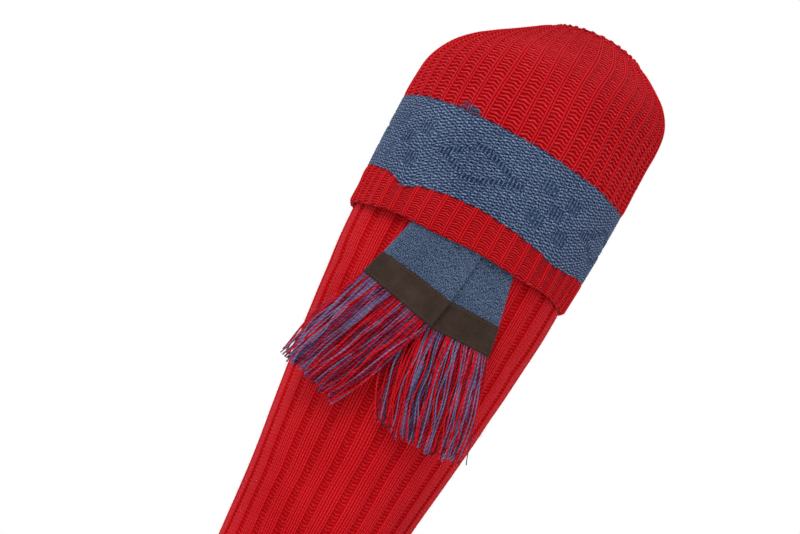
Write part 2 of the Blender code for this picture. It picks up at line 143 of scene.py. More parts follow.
FOOT_RIB_ROWS = 27.0  # the rows of stitches from the ankle to where the leg's stitch has run out
FOOT_RIB_FADE = 13.0  # and how many of them it takes to do so
SOLE = -359.5

# where tapes and fringe hang in front of the leg
# columns: height, distance of the surface from the axis at the front, radius of its curve
HANG = (
    (-140.0, 49.6, 100.0), (-120.0, 51.2, 94.0), (-95.0, 53.2, 85.0), (-65.0, 54.8, 72.0),
    (-45.0, 55.0, 62.0), (-25.0, 54.8, 56.0), (-14.0, 54.1, 54.8), (0.0, 53.9, 54.4),
)
TAPE_WIDTH = 38.0
TAPE_THICK = 1.2
TAPE_TOP = -0.5
TAPE_END = 1.45  # how far down a tape reaches behind its strip, 1 and 2 being the strip's long edges
TAPE_ROWS = 42
TAPE_WALES = 40
STRIP_THICK = 0.9
STRIP_HEIGHT = 14.0
STRIP_LIFT = TAPE_THICK + SEAM_GAP
EDGE_SHARE = 0.018  # how much of a flat piece's width its round edge takes
STITCH_INSET = 1.1  # the strip's rows of stitching, from its long edges
STITCH_STEP = 1.6
STITCH_LENGTH = 1.0

# the flash's tapes, as places of their corners: left x and height, right x and height
# lifts, at the hem, the strip and the tips, are off the surface that HANG gives
FLASH = (
    dict(
        side="right",
        hem=((-10.6, -25.9), (25.6, -25.9)),
        strip_top=((-7.4, -50.4), (30.4, -49.0)),
        strip_bottom=((-5.2, -64.9), (32.8, -63.1)),
        lifts=(0.0, 0.0, 0.0),
        tips=((0.5, -113.2), (17.0, -114.8), (31.0, -114.6), (43.4, -112.6)),
        bows=(-9.0, 4.0),
        stray=((38.6, -88.0), (43.2, -98.0), (45.4, -106.5), (46.9, -110.4)),
        stray_kind=3,
    ),
    dict(
        side="left",
        hem=((-27.1, -25.9), (8.6, -26.0)),
        strip_top=((-31.8, -43.5), (5.7, -50.0)),
        strip_bottom=((-35.6, -55.4), (2.7, -64.6)),
        lifts=(1.6, 2.8, 1.9),
        tips=((-51.0, -104.0), (-42.5, -107.8), (-32.0, -111.6), (-19.0, -115.6)),
        bows=(-2.0, 3.0),
        stray=((-41.5, -74.0), (-45.8, -88.0), (-48.8, -98.6), (-51.4, -104.9)),
        stray_kind=1,
    ),
)
# the fringe: yarns in each layer, their lift at the root and further down
FRINGE_LAYERS = ((30, 0.45, 0.5), (38, 0.65, 1.1), (42, 0.95, 1.9))
STRAND_STEPS = 18
CLUMPS = 9
YARN_STAYS = 0.22  # how often a yarn has the colour of the one before
YARN_RADIUS = (0.27, 0.37)
STRAY_RADIUS = 0.22

STRAP_HALF_HEIGHT = 13.5
STRAP_THICK = 1.2
STRAP_POINTS = 96
STRAP_ROWS = 29
STRAP_RIB = 1.4
STRAP_RIB_DEPTH = 0.08

# the height of each knit's rows, and the width of its ribs or columns for the grain of its wool
CUFF_ROW = 1.78
CUFF_RIB = 8.6
HEM_ROW = 1.22
HEM_RIB = 7.1
BAND_ROW = 1.5
BAND_WALE = 4.34
LEG_ROW = 1.7
LEG_RIB = 11.5
TAPE_ROW = 0.8
TAPE_WALE = 0.95
# the knit columns that a rib's width would hold
LEG_RIB_WALES = 4.35
FOOT_RIB_WALES = 5.0

# the columns of points in one pitch of each knit
CUFF_PLACES = (0.0, 0.09, 0.175, 0.26, 0.34, 0.41, 0.5, 0.59, 0.66, 0.74, 0.825, 0.91)
LEG_PLACES = (0.0, 0.1, 0.2, 0.29, 0.36, 0.43, 0.5, 0.57, 0.64, 0.71, 0.8, 0.9)
WALE_PLACES = (0.0, 0.17, 0.33, 0.5, 0.67, 0.83)
# how far the stitches stand out of each knit
STITCH_HEIGHT = 0.34
LEG_STITCH_HEIGHT = 0.17
BAND_STITCH_HEIGHT = 0.42
TAPE_STITCH_HEIGHT = 0.14

# soft troughs, and ridges where the depth is below 0, on the cuff and on the leg
# columns: angle from the front in degrees, height, half length, half width, depth, slant in degrees
CUFF_CREASES = (
    (-62, 68, 16, 5.0, 0.9, 24), (-38, 55, 12, 4.5, -0.5, 12), (-15, 80, 10, 4.0, 0.5, -30),
    (28, 72, 14, 5.0, 0.6, -18), (58, 60, 12, 4.0, 0.8, -34), (74, 38, 14, 4.0, 0.5, 16),
    (-70, 22, 10, 4.0, 0.5, -10), (-40, -4, 9, 4.0, -0.6, 8), (36, -14, 12, 4.0, 0.5, -6),
    (64, -10, 9, 3.5, -0.5, 14), (-84, -17, 8, 4.0, 0.6, -20), (118, 50, 16, 5.0, 0.8, -22),
    (150, 12, 14, 4.5, 0.5, 14), (176, 66, 15, 5.0, 0.8, 28), (-150, 44, 14, 4.5, 0.7, -16),
    (-122, 8, 12, 4.0, 0.5, 20),
)
LEG_CREASES = (
    (-66, -52, 14, 5.0, 0.7, 18), (62, -60, 13, 4.5, 0.6, -22), (-30, -150, 20, 6.0, 0.5, 10),
    (22, -176, 18, 5.0, 0.6, -14), (-48, -206, 16, 5.0, 0.6, 12), (48, -222, 15, 4.5, 0.7, -18),
    (4, -238, 17, 4.5, 0.8, 6), (110, -90, 18, 6.0, 0.6, -16), (140, -236, 17, 4.5, 0.8, 10),
    (178, -140, 20, 6.0, 0.6, 12), (-140, -70, 16, 5.0, 0.6, -12), (-112, -232, 17, 5.0, 0.8, 14),
    (0, -262, 16, 4.0, 1.0, 0), (90, -268, 22, 3.6, 1.3, -4), (60, -258, 15, 3.4, 1.0, 10),
    (125, -262, 14, 3.6, 1.0, -12), (180, -266, 16, 4.0, 0.9, 4),
)

# the motif of the band: a lozenge and a cross in turn, knitted in plain stitches, in columns and rows
MOTIF_AT = -3.1  # the middle of the first lozenge, in columns from the front
MOTIF_REPEAT = 21.0
MOTIF_LAST = 34.0  # past this many columns each way the back has one lozenge of its own
MOTIF_ROW = 12.0
BAND_ROWS = 25
BAND_WALES = 84
LOZENGE_WIDE = 5.9
LOZENGE_TALL = 6.2
LOZENGE_LINE = 0.3  # the share of its size that the outline takes
CROSS_TALL = 6.9
CROSS_ARM = 3.2
CROSS_DEPTH = 0.7
MOTIF_SINK = 0.28  # how much deeper its plain stitches lie than the purl ones

# loose loops of blue on the red: angle from the front in degrees, height, spread of each, count
TUFTS = ((-28.5, 33.2, 5.2, 1.9, 20), (-40.0, -12.2, 3.0, 0.8, 5))
TUFT_AT = 58.0  # the radius where they stand

FUZZ_PER_AREA = 0.2  # fibres on a square millimetre
FUZZ_RADIUS = 0.03
FUZZ_LONGEST = 2.6

SPECULAR = 0.06
SHEEN_ROUGHNESS = 0.3

# the photograph's view: almost level, with the leg leaning to the left by the camera's roll
SENSOR = 36.0
FOCAL_SHARE = 2766 / 800  # of the image's width
PITCH = math.radians(6.0)
ROLL = math.radians(28.1)
TARGET = Vector((-21.8, 0.0, -40.8)) * MM
DISTANCE = 1.30
# name, place, target, size, power
LIGHTS = (
    ("key", (-0.75, -1.2, 1.0), (0.0, 0.0, -0.03), 0.7, 14.0),
    ("fill", (1.2, -1.2, 0.1), (0.0, 0.0, -0.05), 1.2, 3.0),
)
FLOOR_HALF = 2.0
FLOOR_DROP = 0.5
FLOOR_COLOUR = (0.86, 0.86, 0.86, 1.0)


def connect(value, slot):
    """Links a wire to a node's input, or sets a plain value there."""
    if isinstance(value, Wire):
        Wire.tree.links.new(value.socket, slot)
    else:
        slot.default_value = value


def joined(operation, turned=False):
    """A method of Wire that joins it and another value, with the other one first if turned."""
    if turned:
        return lambda wire, other: Wire.through(operation, other, wire)
    return lambda wire, other: Wire.through(operation, wire, other)


class Wire:
    """A number or colour that runs through the nodes of the material being made."""

    tree = None

    def __init__(self, socket):
        self.socket = socket

    @classmethod
    def through(cls, operation, *values):
        node = cls.tree.nodes.new("ShaderNodeMath")
        node.operation = operation
        for slot, value in zip(node.inputs, values):
            connect(value, slot)
        return cls(node.outputs[0])

    __add__ = joined("ADD")
    __radd__ = joined("ADD", True)
    __sub__ = joined("SUBTRACT")
    __rsub__ = joined("SUBTRACT", True)
    __mul__ = joined("MULTIPLY")
    __rmul__ = joined("MULTIPLY", True)
    __truediv__ = joined("DIVIDE")


def for_both(operation, plain):
    """A function of the knitting formulas, for arrays of numbers and for wires."""

    def act(*values):
        if any(isinstance(value, Wire) for value in values):
            return Wire.through(operation, *values)
        return plain(*values)

    return act


cos = for_both("COSINE", np.cos)
exp = for_both("EXPONENT", np.exp)
absolute = for_both("ABSOLUTE", np.abs)
floor = for_both("FLOOR", np.floor)
minimum = for_both("MINIMUM", np.minimum)
maximum = for_both("MAXIMUM", np.maximum)
above = for_both("GREATER_THAN", lambda value, limit: np.where(value > limit, 1.0, 0.0))


def fract(value):
    return value - floor(value)


def clamp(value):
    return minimum(maximum(value, 0.0), 1.0)


def smooth(value):
    share = clamp(value)
    return share * share * (3.0 - share * 2.0)


def bell(value):
    return exp(value * value * -1.0)


def wave(value):
    """1 at whole numbers and 0 half way between."""
    return cos(value * TAU) * 0.5 + 0.5


def mix(low, high, share):
    return low + (high - low) * share


def off_whole(value):
    """How far a value is from the nearest whole number."""
    return absolute(fract(value + 0.5) - 0.5)


def uneven(column, row):
    """From -1 to 1: how a knitter's stitches wander."""
    slow = cos(column * 5.1 + row * 1.3) * 0.45
    quick = cos(column * 11.3 - row * 2.9 + 1.4) * 0.35
    return slow + quick + cos(column * 2.3 + row * 4.3 + 0.7) * 0.2


def plain_stitch(wale, row):
    """Stocking stitch from 0 to 1: a column of nested Vs about each whole number."""
    off = off_whole(wale) * 2.0
    leg = bell((off - 0.47) / 0.34)
    return leg * (wave(row - off * 0.8) * 0.38 + 0.62)


def purl_stitch(wale, row):
    """Reverse stocking stitch from 0 to 1: bumps over each whole number, and bumps half a row on between."""
    over = cos(wale * TAU)
    upper = wave(row - over * 0.1)
    lower = wave(row + 0.5 - over * 0.1)
    return mix(lower * 0.85, upper, smooth(over * 0.8 + 0.5))


def thin_bar(value):
    """Narrower than a wave at its crests."""
    bar = wave(value)
    return bar * (bar * 0.8 + 0.2)


def cuff_stitch(rib, row):
    """One knit column at the half of each rib, and a broad purl column with arched bars between."""
    off_knit = absolute(fract(rib) - 0.5)
    in_purl = smooth((off_knit - 0.135) / 0.045)
    legs = bell((off_knit - 0.085) / 0.05) * (wave(row + off_knit * 3.0) * 0.3 + 0.55)
    arch = 0.22 - cos((0.5 - off_knit) * (TAU / 0.7)) * 0.22
    wander = uneven(rib, row)
    # the rows of neighbouring columns don't meet
    start = cos(floor(rib + 0.5) * 2.4) * 0.35
    bar = thin_bar(row + start + arch + wander * 0.16)
    return mix(legs, bar * (wander * 0.14 + 0.8) + 0.05, in_purl)


def cuff_profile(rib):
    """The rib itself: 1 on the knit column, 0 in the purl one."""
    return 1.0 - smooth((absolute(fract(rib) - 0.5) - 0.08) / 0.2)


def leg_stitch(rib, row):
    """Three knit columns about each whole number, and a narrow purl ladder of arcs between."""
    off = off_whole(rib)
    in_purl = smooth((off - 0.32) / 0.05)
    wander = uneven(rib * 2.0, row)
    lively = row + wander * 0.16
    knit = plain_stitch((fract(rib + 0.5) - 0.5) * LEG_RIB_WALES, lively)
    start = cos(floor(rib) * 2.4) * 0.35
    bar = thin_bar(lively + start + cos((0.5 - off) * (TAU / 0.3)) * 0.16)
    return mix(knit, bar * (wander * 0.15 + 0.56) + 0.16, in_purl)


def leg_profile(rib):
    return 1.0 - smooth((off_whole(rib) - 0.27) / 0.15)


def motif(wale, row):
    """More than 0 where the band's stitch is a plain one."""
    off = fract((floor(wale + 0.5) - MOTIF_AT + BAND_WALES / 2) / BAND_WALES) * BAND_WALES
    across = absolute(off - BAND_WALES / 2)
    down = absolute(floor(row) + 0.5 - MOTIF_ROW)
    at_back = above(across, MOTIF_LAST)
    repeated = off_whole(across / MOTIF_REPEAT) * MOTIF_REPEAT
    to_lozenge = mix(repeated, BAND_WALES / 2 - across, at_back)
    # the back has no cross, so every column there is far from one
    to_cross = mix(MOTIF_REPEAT / 2 - repeated, float(BAND_WALES), at_back)
    size = to_lozenge / LOZENGE_WIDE + down / LOZENGE_TALL
    lozenge = above(size, 1.03 - LOZENGE_LINE) * (1.0 - above(size, 1.04))
    in_height = 1.0 - above(down, CROSS_TALL)
    arms = above(to_cross, 1.4) * (1.0 - above(to_cross, 2.6)) * above(down, CROSS_ARM) * in_height
    heart = (1.0 - above(to_cross, 1.1)) * (1.0 - above(down, 2.0)) * above(down + to_cross, 0.9)
    return maximum(lozenge, maximum(arms, heart) * CROSS_DEPTH)


def band_stitch(wale, row):
    """Purl bars, and in the motif plain stitches, which read as dark upright strokes between their legs: low
    in the mesh, and darkened by the material as painted shade.
    """
    off = off_whole(wale) * 2.0
    wander = uneven(wale, row)
    legs = bell((off - 0.5 - wander * 0.08) / 0.24) * (wave(row * 0.5 - off * 0.3) * 0.34 + 0.46)
    return mix(purl_stitch(wale + wander * 0.1, row + wander * 0.18), legs, motif(wale, row))


def curve_through(table, spacing):
    """The rows of a table at even spacing along the smooth curve through them."""
    rows = np.array(table, float)
    gaps = np.linalg.norm(np.diff(rows, axis=0), axis=1)
    along = np.concatenate(([0.0], np.cumsum(gaps)))
    slopes = np.gradient(rows, along, axis=0)
    places = np.linspace(0.0, along[-1], max(1, round(along[-1] / spacing)) + 1)
    low = np.clip(np.searchsorted(along, places, "right") - 1, 0, len(gaps) - 1)
    gap = gaps[low][:, None]
    t = (places - along[low])[:, None] / gap
    values = (
        rows[low] * (2 * t**3 - 3 * t**2 + 1)
        + rows[low + 1] * (3 * t**2 - 2 * t**3)
        + slopes[low] * gap * (t**3 - 2 * t**2 + t)
        + slopes[low + 1] * gap * (t**3 - t**2)
    )
    return places, values


def table_at(table, heights, column):
    """One column of a table with rising first column, at an array of heights, with soft corners."""
    rows = np.array(table, float)
    fine = np.linspace(rows[0, 0], rows[-1, 0], 400)
    values = np.interp(fine, rows[:, 0], rows[:, column])
    width = 9
    kernel = np.hanning(width + 2)[1:-1]
    kernel /= kernel.sum()
    padded = np.concatenate((np.full(width, values[0]), values, np.full(width, values[-1])))
    soft = np.convolve(padded, kernel, "same")[width:-width]
    return np.interp(heights, fine, soft)


def run_at(table, angles):
    """A seam's rise at angles from the front, with eased steps between the table's."""
    degrees = np.array([row[0] for row in table] + [table[0][0] + 360.0])
    rises = np.array([row[1] for row in table] + [table[0][1]])
    wrapped = (np.degrees(angles) - degrees[0]) % 360.0 + degrees[0]
    low = np.clip(np.searchsorted(degrees, wrapped, "right") - 1, 0, len(table) - 1)
    share = smooth((wrapped - degrees[low]) / (degrees[low + 1] - degrees[low]))
    return mix(rises[low], rises[low + 1], share)


def level_sections(rows, inset=0.0):
    """Level round sections, in the columns of FOOT, from rows of height, radius and shift."""
    rows = np.asarray(rows, float)
    height = rows[:, 0]
    radius = rows[:, 1] - inset
    shift = rows[:, 2] if rows.shape[1] > 2 else np.zeros(len(rows))
    return np.stack([shift - radius, height, shift + radius, height, radius], axis=1)


def section_grid(sections, angles):
    """Points of a tube: a row for each section, a column for each angle."""
    back_x, back_z, front_x, front_z, half = (sections[:, k][:, None] for k in range(5))
    forward = np.cos(angles)
    x = (back_x + front_x) / 2 + (front_x - back_x) / 2 * forward
    z = (back_z + front_z) / 2 + (front_z - back_z) / 2 * forward
    return np.stack(np.broadcast_arrays(x, half * np.sin(angles), z), axis=2)


def cuff_grid(level, angles, inset):
    """Points of the cuff's outside at heights and angles, moved in by an inset."""
    radius = table_at(CUFF, level, 1) - inset
    shift = table_at(CUFF, level, 2)
    return np.stack([shift + radius * np.cos(angles), radius * np.sin(angles), level], axis=2)


def unit(vectors):
    return vectors / np.maximum(np.linalg.norm(vectors, axis=-1, keepdims=True), 1e-9)


def grid_normals(grid):
    """Outward normals of a tube whose rows run up and whose columns run round."""
    round_way = np.roll(grid, -1, axis=1) - np.roll(grid, 1, axis=1)
    return unit(np.cross(round_way, np.gradient(grid, axis=0)))


def column_places(pitches, places):
    """Places round a tube in pitches, one more than there are columns, so that the last closes the first."""
    return np.array([whole + place for whole in range(pitches) for place in places] + [float(pitches)])


def dome_turn(share, radius, shift):
    """How much the cuff's ribs turn away from even places: they run straight up the dome's front."""
    s = (share * TAU + math.pi) % TAU - math.pi
    small = np.maximum(radius, 20.0)
    straight = 0.25 * np.tanh(0.55 * (CUFF_MIDDLE / small - 1.0).clip(0.0) / 0.25)
    aside = 0.45 * np.tanh(0.95 * shift / small / 0.45)
    even = RIB_SPREAD * (np.cos(s) - 1.0) - RIB_CLOSE * np.sin(s)
    return even + straight * np.sin(2 * s) - aside * np.cos(s)


def sway(columns, rows_mm, size):
    """How far the columns of stitches wander sideways, in millimetres."""
    angle = columns * TAU
    a = np.sin(rows_mm / 15.0 + 3 * angle) * 0.45
    b = np.sin(rows_mm / 6.4 - 5 * angle + 1.3) * 0.2
    c = np.sin(rows_mm / 31.0 + 9 * angle + 2.1) * 0.35
    return (a + b + c) * size


def off_front(grid):
    return np.arctan2(grid[..., 0], -grid[..., 1])


def creases(table, grid):
    """How deep the soft troughs of a table are at each point of a grid."""
    angle = np.degrees(off_front(grid))
    radius = np.hypot(grid[..., 0], grid[..., 1])
    depth = np.zeros(grid.shape[:2])
    for at, height, half_length, half_width, deep, slant in table:
        off = np.radians((angle - at + 180.0) % 360.0 - 180.0) * radius
        rise = grid[..., 2] - height
        lean = math.radians(slant)
        along = off * math.cos(lean) + rise * math.sin(lean)
        across = rise * math.cos(lean) - off * math.sin(lean)
        depth += deep * np.exp(-((along / half_length) ** 2) - (across / half_width) ** 2)
    return depth


def draw_in(grid, depth):
    """Moves points towards the leg's axis."""
    grid[..., :2] -= grid[..., :2] / np.hypot(grid[..., 0], grid[..., 1])[..., None] * depth[..., None]


def bulge(grid):
    """The same points, moved outward where the cuff passes over the flash."""
    around = 1 - smooth((np.abs(off_front(grid)) - BULGE_FULL) / (BULGE_GONE - BULGE_FULL))
    down = smooth((BULGE_TOP - grid[..., 2]) / (BULGE_TOP - HEM))
    moved = grid.copy()
    draw_in(moved, -BULGE * around * down)
    return moved


def near(distance, width):
    """A column of shares that are 1 where a row's distance is 0."""
    return np.exp(-((distance / width) ** 2))[:, None]


def add_object(name, data):
    item = bpy.data.objects.new(name, data)
    bpy.context.scene.collection.objects.link(item)
    return item


class Knitting:
    """Gathers the points, faces and stitch places of one mesh."""

    def __init__(self):
        self.points = []
        self.faces = []
        self.places = []
        self.flat = []
        self.count = 0

    def add(self, points):
        first = self.count
        points = np.asarray(points, float).reshape(-1, 3)
        self.points.append(points)
        self.count += len(points)
        return first

    def tube(self, grid, u, v, inside=False):
        """A closed tube. u has one more value than the grid has columns, v one for each row."""
        rows, columns = grid.shape[:2]
        first = self.add(grid)
        row, column = (part.ravel() for part in np.mgrid[0 : rows - 1, 0:columns])
        beside = (column + 1) % columns
        low = first + row * columns
        high = low + columns
        corners = np.stack([low + column, low + beside, high + beside, high + column], axis=1)
        us = np.stack([u[column], u[column + 1], u[column + 1], u[column]], axis=1)
        vs = np.stack([v[row], v[row], v[row + 1], v[row + 1]], axis=1)
        places = np.stack([us, vs], axis=2)
        if inside:
            corners, places = corners[:, ::-1], places[:, ::-1]
        self.faces.extend(corners.tolist())
        self.places.append(places.reshape(-1, 2))
        ring = first + np.arange(columns)
        return ring, ring + (rows - 1) * columns

    def triangle(self, corners, us, v, turned):
        order = slice(None, None, -1 if turned else 1)
        self.faces.append([int(k) for k in corners[order]])
        self.places.append(np.array([(u, v) for u in us[order]], float))

    def zip(self, low, low_u, high, high_u, v, turned=False):
        """Flat triangles between two closed rings that may have different numbers of points."""
        i = j = 0
        start = len(self.faces)
        while i < len(low) or j < len(high):
            a, b = low[i % len(low)], high[j % len(high)]
            if j >= len(high) or (i < len(low) and low_u[i + 1] <= high_u[j + 1]):
                i += 1
                self.triangle((a, low[i % len(low)], b), (low_u[i - 1], low_u[i], high_u[j]), v, turned)
            else:
                j += 1
                self.triangle((a, high[j % len(high)], b), (low_u[i], high_u[j], high_u[j - 1]), v, turned)
        self.flat.extend(range(start, len(self.faces)))

    def fan(self, ring, ring_u, tip, v, turned=False):
        """Triangles from a closed ring to one point."""
        point = self.add([tip])
        for k in range(len(ring)):
            corners = (ring[k], ring[(k + 1) % len(ring)], point)
            self.triangle(corners, (ring_u[k], ring_u[k + 1], ring_u[k]), v, turned)

    def build(self, name, *materials, kinds=None):
        mesh = bpy.data.meshes.new(name)
        points = np.concatenate(self.points) * MM
        mesh.from_pydata(points.tolist(), [], self.faces)
        layer = mesh.uv_layers.new(name="stitches")
        layer.data.foreach_set("uv", np.concatenate(self.places).astype(np.float32).ravel())
        for material in materials:
            mesh.materials.append(material)
        if kinds is not None:
            mesh.polygons.foreach_set("material_index", np.array(kinds, np.int32))
        mesh.shade_smooth()
        for index in self.flat:
            mesh.polygons[index].use_smooth = False
        mesh.validate()
        return add_object(name, mesh)


def srgb(red, green, blue):
    """A colour as the eye names it, from 0 to 255, in the light values that the nodes use."""
    shares = (red / 255, green / 255, blue / 255)
    return (*(s / 12.92 if s <= 0.04045 else ((s + 0.055) / 1.055) ** 2.4 for s in shares), 1.0)


def shades(dark, mid, light):
    return srgb(*dark), srgb(*mid), srgb(*light)


RED = shades((112, 0, 2), (182, 8, 18), (214, 50, 60))
BLUE = shades((14, 28, 50), (58, 74, 104), (124, 142, 170))
TAPE_BLUE = shades((12, 26, 46), (49, 66, 93), (124, 142, 170))
SUEDE = shades((36, 26, 22), (51, 39, 34), (66, 53, 46))
THREAD = shades((48, 38, 24), (88, 72, 46), (112, 94, 62))
RED_SHEEN = srgb(255, 100, 118)
BLUE_SHEEN = srgb(150, 160, 205)
SUEDE_SHEEN = srgb(150, 125, 105)
YARN_SHEEN = srgb(210, 190, 210)
# the fringe's yarns: name, share, colours
YARNS = (
    ("yarn_red", 0.35, shades((110, 0, 8), (186, 6, 22), (218, 34, 48))),
    ("yarn_crimson", 0.17, shades((56, 0, 10), (118, 2, 26), (172, 26, 54))),
    ("yarn_lilac", 0.3, shades((36, 30, 58), (92, 80, 118), (156, 142, 174))),
    ("yarn_navy", 0.08, shades((10, 10, 30), (36, 38, 70), (92, 98, 136))),
    ("yarn_mauve", 0.1, shades((48, 8, 32), (108, 32, 72), (164, 90, 130))),
)


def start_material(name):
    """A new material, into whose nodes the next wires go."""
    material = bpy.data.materials.new(name)
    material.use_nodes = True
    Wire.tree = material.node_tree
    return material


def add_node(kind, **inputs):
    node = Wire.tree.nodes.new("ShaderNode" + kind)
    for name, value in inputs.items():
        connect(value, node.inputs[name])
    return node


def stitch_place():
    """The mesh's stitch places as two wires: column and row."""
    source = add_node("UVMap")
    source.uv_map = "stitches"
    parts = add_node("SeparateXYZ", Vector=Wire(source.outputs["UV"]))
    return Wire(parts.outputs["X"]), Wire(parts.outputs["Y"])


def noise(across, up, scale, detail=2.0):
    """Noise about 0.5 over two wires."""
    place = Wire(add_node("CombineXYZ", X=across, Y=up).outputs[0])
    return Wire(add_node("TexNoise", Vector=place, Scale=scale, Detail=detail, Roughness=0.6).outputs["Fac"])


def space_noise(scale, detail=2.0):
    """Noise about 0.5 through the object's own space, in features of 1/scale metres."""
    place = Wire(add_node("TexCoord").outputs["Object"])
    return Wire(add_node("TexNoise", Vector=place, Scale=scale, Detail=detail).outputs["Fac"])


def ramp(factor, colours):
    """A colour from dark through mid to light."""
    node = add_node("ValToRGB", Fac=factor)
    elements = node.color_ramp.elements
    elements[0].color = colours[0]
    elements[1].color = colours[2]
    elements.new(0.5).color = colours[1]
    return Wire(node.outputs["Color"])


def colour_mix(share, first, second):
    node = add_node("Mix")
    node.data_type = "RGBA"
    for name, value in (("Factor", share), ("A", first), ("B", second)):
        connect(value, node.inputs[name])
    return Wire(node.outputs["Result"])


def finish_material(material, colour, height, bump, rough, sheen, tint):
    """Colour, bump in millimetres, roughness that follows the height, and a constant sheen."""
    relief = add_node("Bump", Strength=1.0, Distance=bump * MM, Height=height)
    inputs = {
        "Base Color": colour,
        "Normal": Wire(relief.outputs["Normal"]),
        "Roughness": clamp(mix(*rough, height)),
        "Specular IOR Level": SPECULAR,
        "Sheen Weight": sheen,
        "Sheen Roughness": SHEEN_ROUGHNESS,
        "Sheen Tint": tint,
    }
    for name, value in inputs.items():
        connect(value, Wire.tree.nodes["Principled BSDF"].inputs[name])
    return material


def red_wool(name, stitch, wale_mm, row_mm, contrast, bump, blue_edge=None, middle=0.52):
    """Red knitting. stitch gives the height of the stitches at a column and a row."""
    material = start_material(name)
    column, row = stitch_place()
    height = stitch(column, row)
    fibre = noise(column * wale_mm, row * row_mm, 2.6, 3.0)
    patch = space_noise(28.0)
    # the colour follows the stitches' height: painted shade in their hollows and a painted highlight on
    # their crests; the fibre and patch noise are the wool's own uneven tone
    shade = clamp((height - 0.5) * contrast + middle + (fibre - 0.5) * 0.8 + (patch - 0.5) * 0.25)
    colour = ramp(shade, RED)
    if blue_edge:
        colour = colour_mix(blue_edge(column, row), colour, ramp(shade, BLUE))
    return finish_material(material, colour, height + fibre * 0.35, bump, (0.95, 0.8), 0.28, RED_SHEEN)


def jagged(column, row, reach, wide):
    """How far a seam's edge of blue reaches, uneven from stitch to stitch."""
    rough = noise(column * 2.0, row, 1.9)
    return cos(column * (TAU * 2.0)) * reach + (rough - 0.5) * wide


def blue_at_band_top(column, row):
    """The first rows above the band: a jagged edge, and a tuft of blue left of the front."""
    edge = 1.0 - above(row, jagged(column, row, 0.28, 1.6) + 0.35)
    # columns run to the full count of ribs, so the tuft's place is given from the front round
    beside = bell((column - (CUFF_RIBS - 3.25)) / 0.75)
    over = bell((row - 1.3) / 1.5)
    wisps = noise(column * 14.0, row * 4.0, 1.3)
    return maximum(edge, above(beside * over * 0.55 + wisps * 0.9, 0.88))


def blue_at_band_bottom(rows, column, row):
    """The last rows below the band, in a hem of that many rows."""
    return above(row, jagged(column, row, 0.25, 1.3) + (rows - 0.35))


def marled(name, colours, stitch, wale_mm, row_mm, contrast, bump, grain, flecks, stretch=1.8):
    """Heathered blue knitting, flecked along the yarn."""
    material = start_material(name)
    column, row = stitch_place()
    height = stitch(column, row)
    across = column * wale_mm
    up = row * row_mm
    fleck = noise(across, up * stretch, grain)
    fibre = noise(across, up, 3.0, 3.0)
    patch = space_noise(40.0)
    # the colour follows the stitches' height: painted shade in their hollows and a painted highlight on
    # their crests; the flecks, fibre and patch noise are the yarn's own marled tone
    shade = (height - 0.5) * contrast + 0.47 + (fleck - 0.5) * flecks
    colour = ramp(clamp(shade + (fibre - 0.5) * 0.6 + (patch - 0.5) * 0.25), colours)
    return finish_material(material, colour, height + fibre * 0.35, bump, (0.95, 0.82), 0.3, BLUE_SHEEN)


def suede():
    material = start_material("brown_suede")
    nap = space_noise(2200.0, 4.0)
    rubbed = space_noise(160.0, 3.0)
    colour = ramp(clamp((nap - 0.5) * 0.9 + (rubbed - 0.5) * 0.8 + 0.5), SUEDE)
    return finish_material(material, colour, nap + rubbed * 0.6, 0.25, (0.95, 0.7), 0.1, SUEDE_SHEEN)


def yarn(name, colours):
    """A two-ply yarn. Its stitch places are turns round it and millimetres along it."""
    material = start_material(name)
    turn, along = stitch_place()
    ply = wave(turn * 2.0 - along / 2.2)
    fibre = noise(turn * 6.0, along, 2.0, 3.0)
    patch = space_noise(90.0, 1.0)
    # the colour is lighter on the two plies and darker in the groove between them: painted shade; the fibre
    # and patch noise are the yarn's own uneven tone
    colour = ramp(clamp(ply * 0.4 + (fibre - 0.5) * 0.6 + (patch - 0.5) * 0.5 + 0.3), colours)
    return finish_material(material, colour, ply + fibre * 0.4, 0.16, (0.9, 0.7), 0.1, YARN_SHEEN)


def fuzz(name, colours):
    """Loose fibres. Their stitch places run from root to end."""
    material = start_material(name)
    along = stitch_place()[1]
    grain = space_noise(400.0, 1.0)
    colour = ramp(clamp(along * 0.3 + (grain - 0.5) * 0.8 + 0.5), colours)
    return finish_material(material, colour, grain, 0.02, (1.0, 0.9), 0.0, colours[2])


def elastic():
    """Woven garter tape, with fine ribs round it. Its rows of stitch places are millimetres."""
    material = start_material("elastic")
    ribs = wave(stitch_place()[1] / STRAP_RIB)
    grain = space_noise(900.0, 3.0)
    # the colour is darker in the grooves between the fine ribs: painted shade; the grain noise is the tape's
    # own tone
    colour = ramp(clamp((ribs - 0.5) * 0.5 + (grain - 0.5) * 0.9 + 0.45), BLUE)
    return finish_material(material, colour, ribs + grain * 0.4, 0.3, (0.9, 0.75), 0.2, BLUE_SHEEN)


def walled_tube(outer, inner, u, step, v, inner_v):
    """A closed wall from an outer grid and an inner one, which has every step-th of its columns."""
    inner_u = u[::step]
    knitting = Knitting()
    low, high = knitting.tube(outer, u, v)
    in_low, in_high = knitting.tube(inner, inner_u, inner_v, inside=True)
    knitting.zip(low, u, in_low, inner_u, v[0], turned=True)
    knitting.zip(high, u, in_high, inner_u, v[-1])
    return knitting


def wall_grid(grid, inset, row_step, column_step):
    """The inner side of a wall: fewer points, moved in along the normals."""
    moved = grid - grid_normals(grid) * inset
    rows = sorted(set(range(0, len(grid), row_step)) | {len(grid) - 1})
    return moved[rows][:, ::column_step], rows


HAIR_SITES = []  # grids of points from which loose fibres grow, with their colour and density


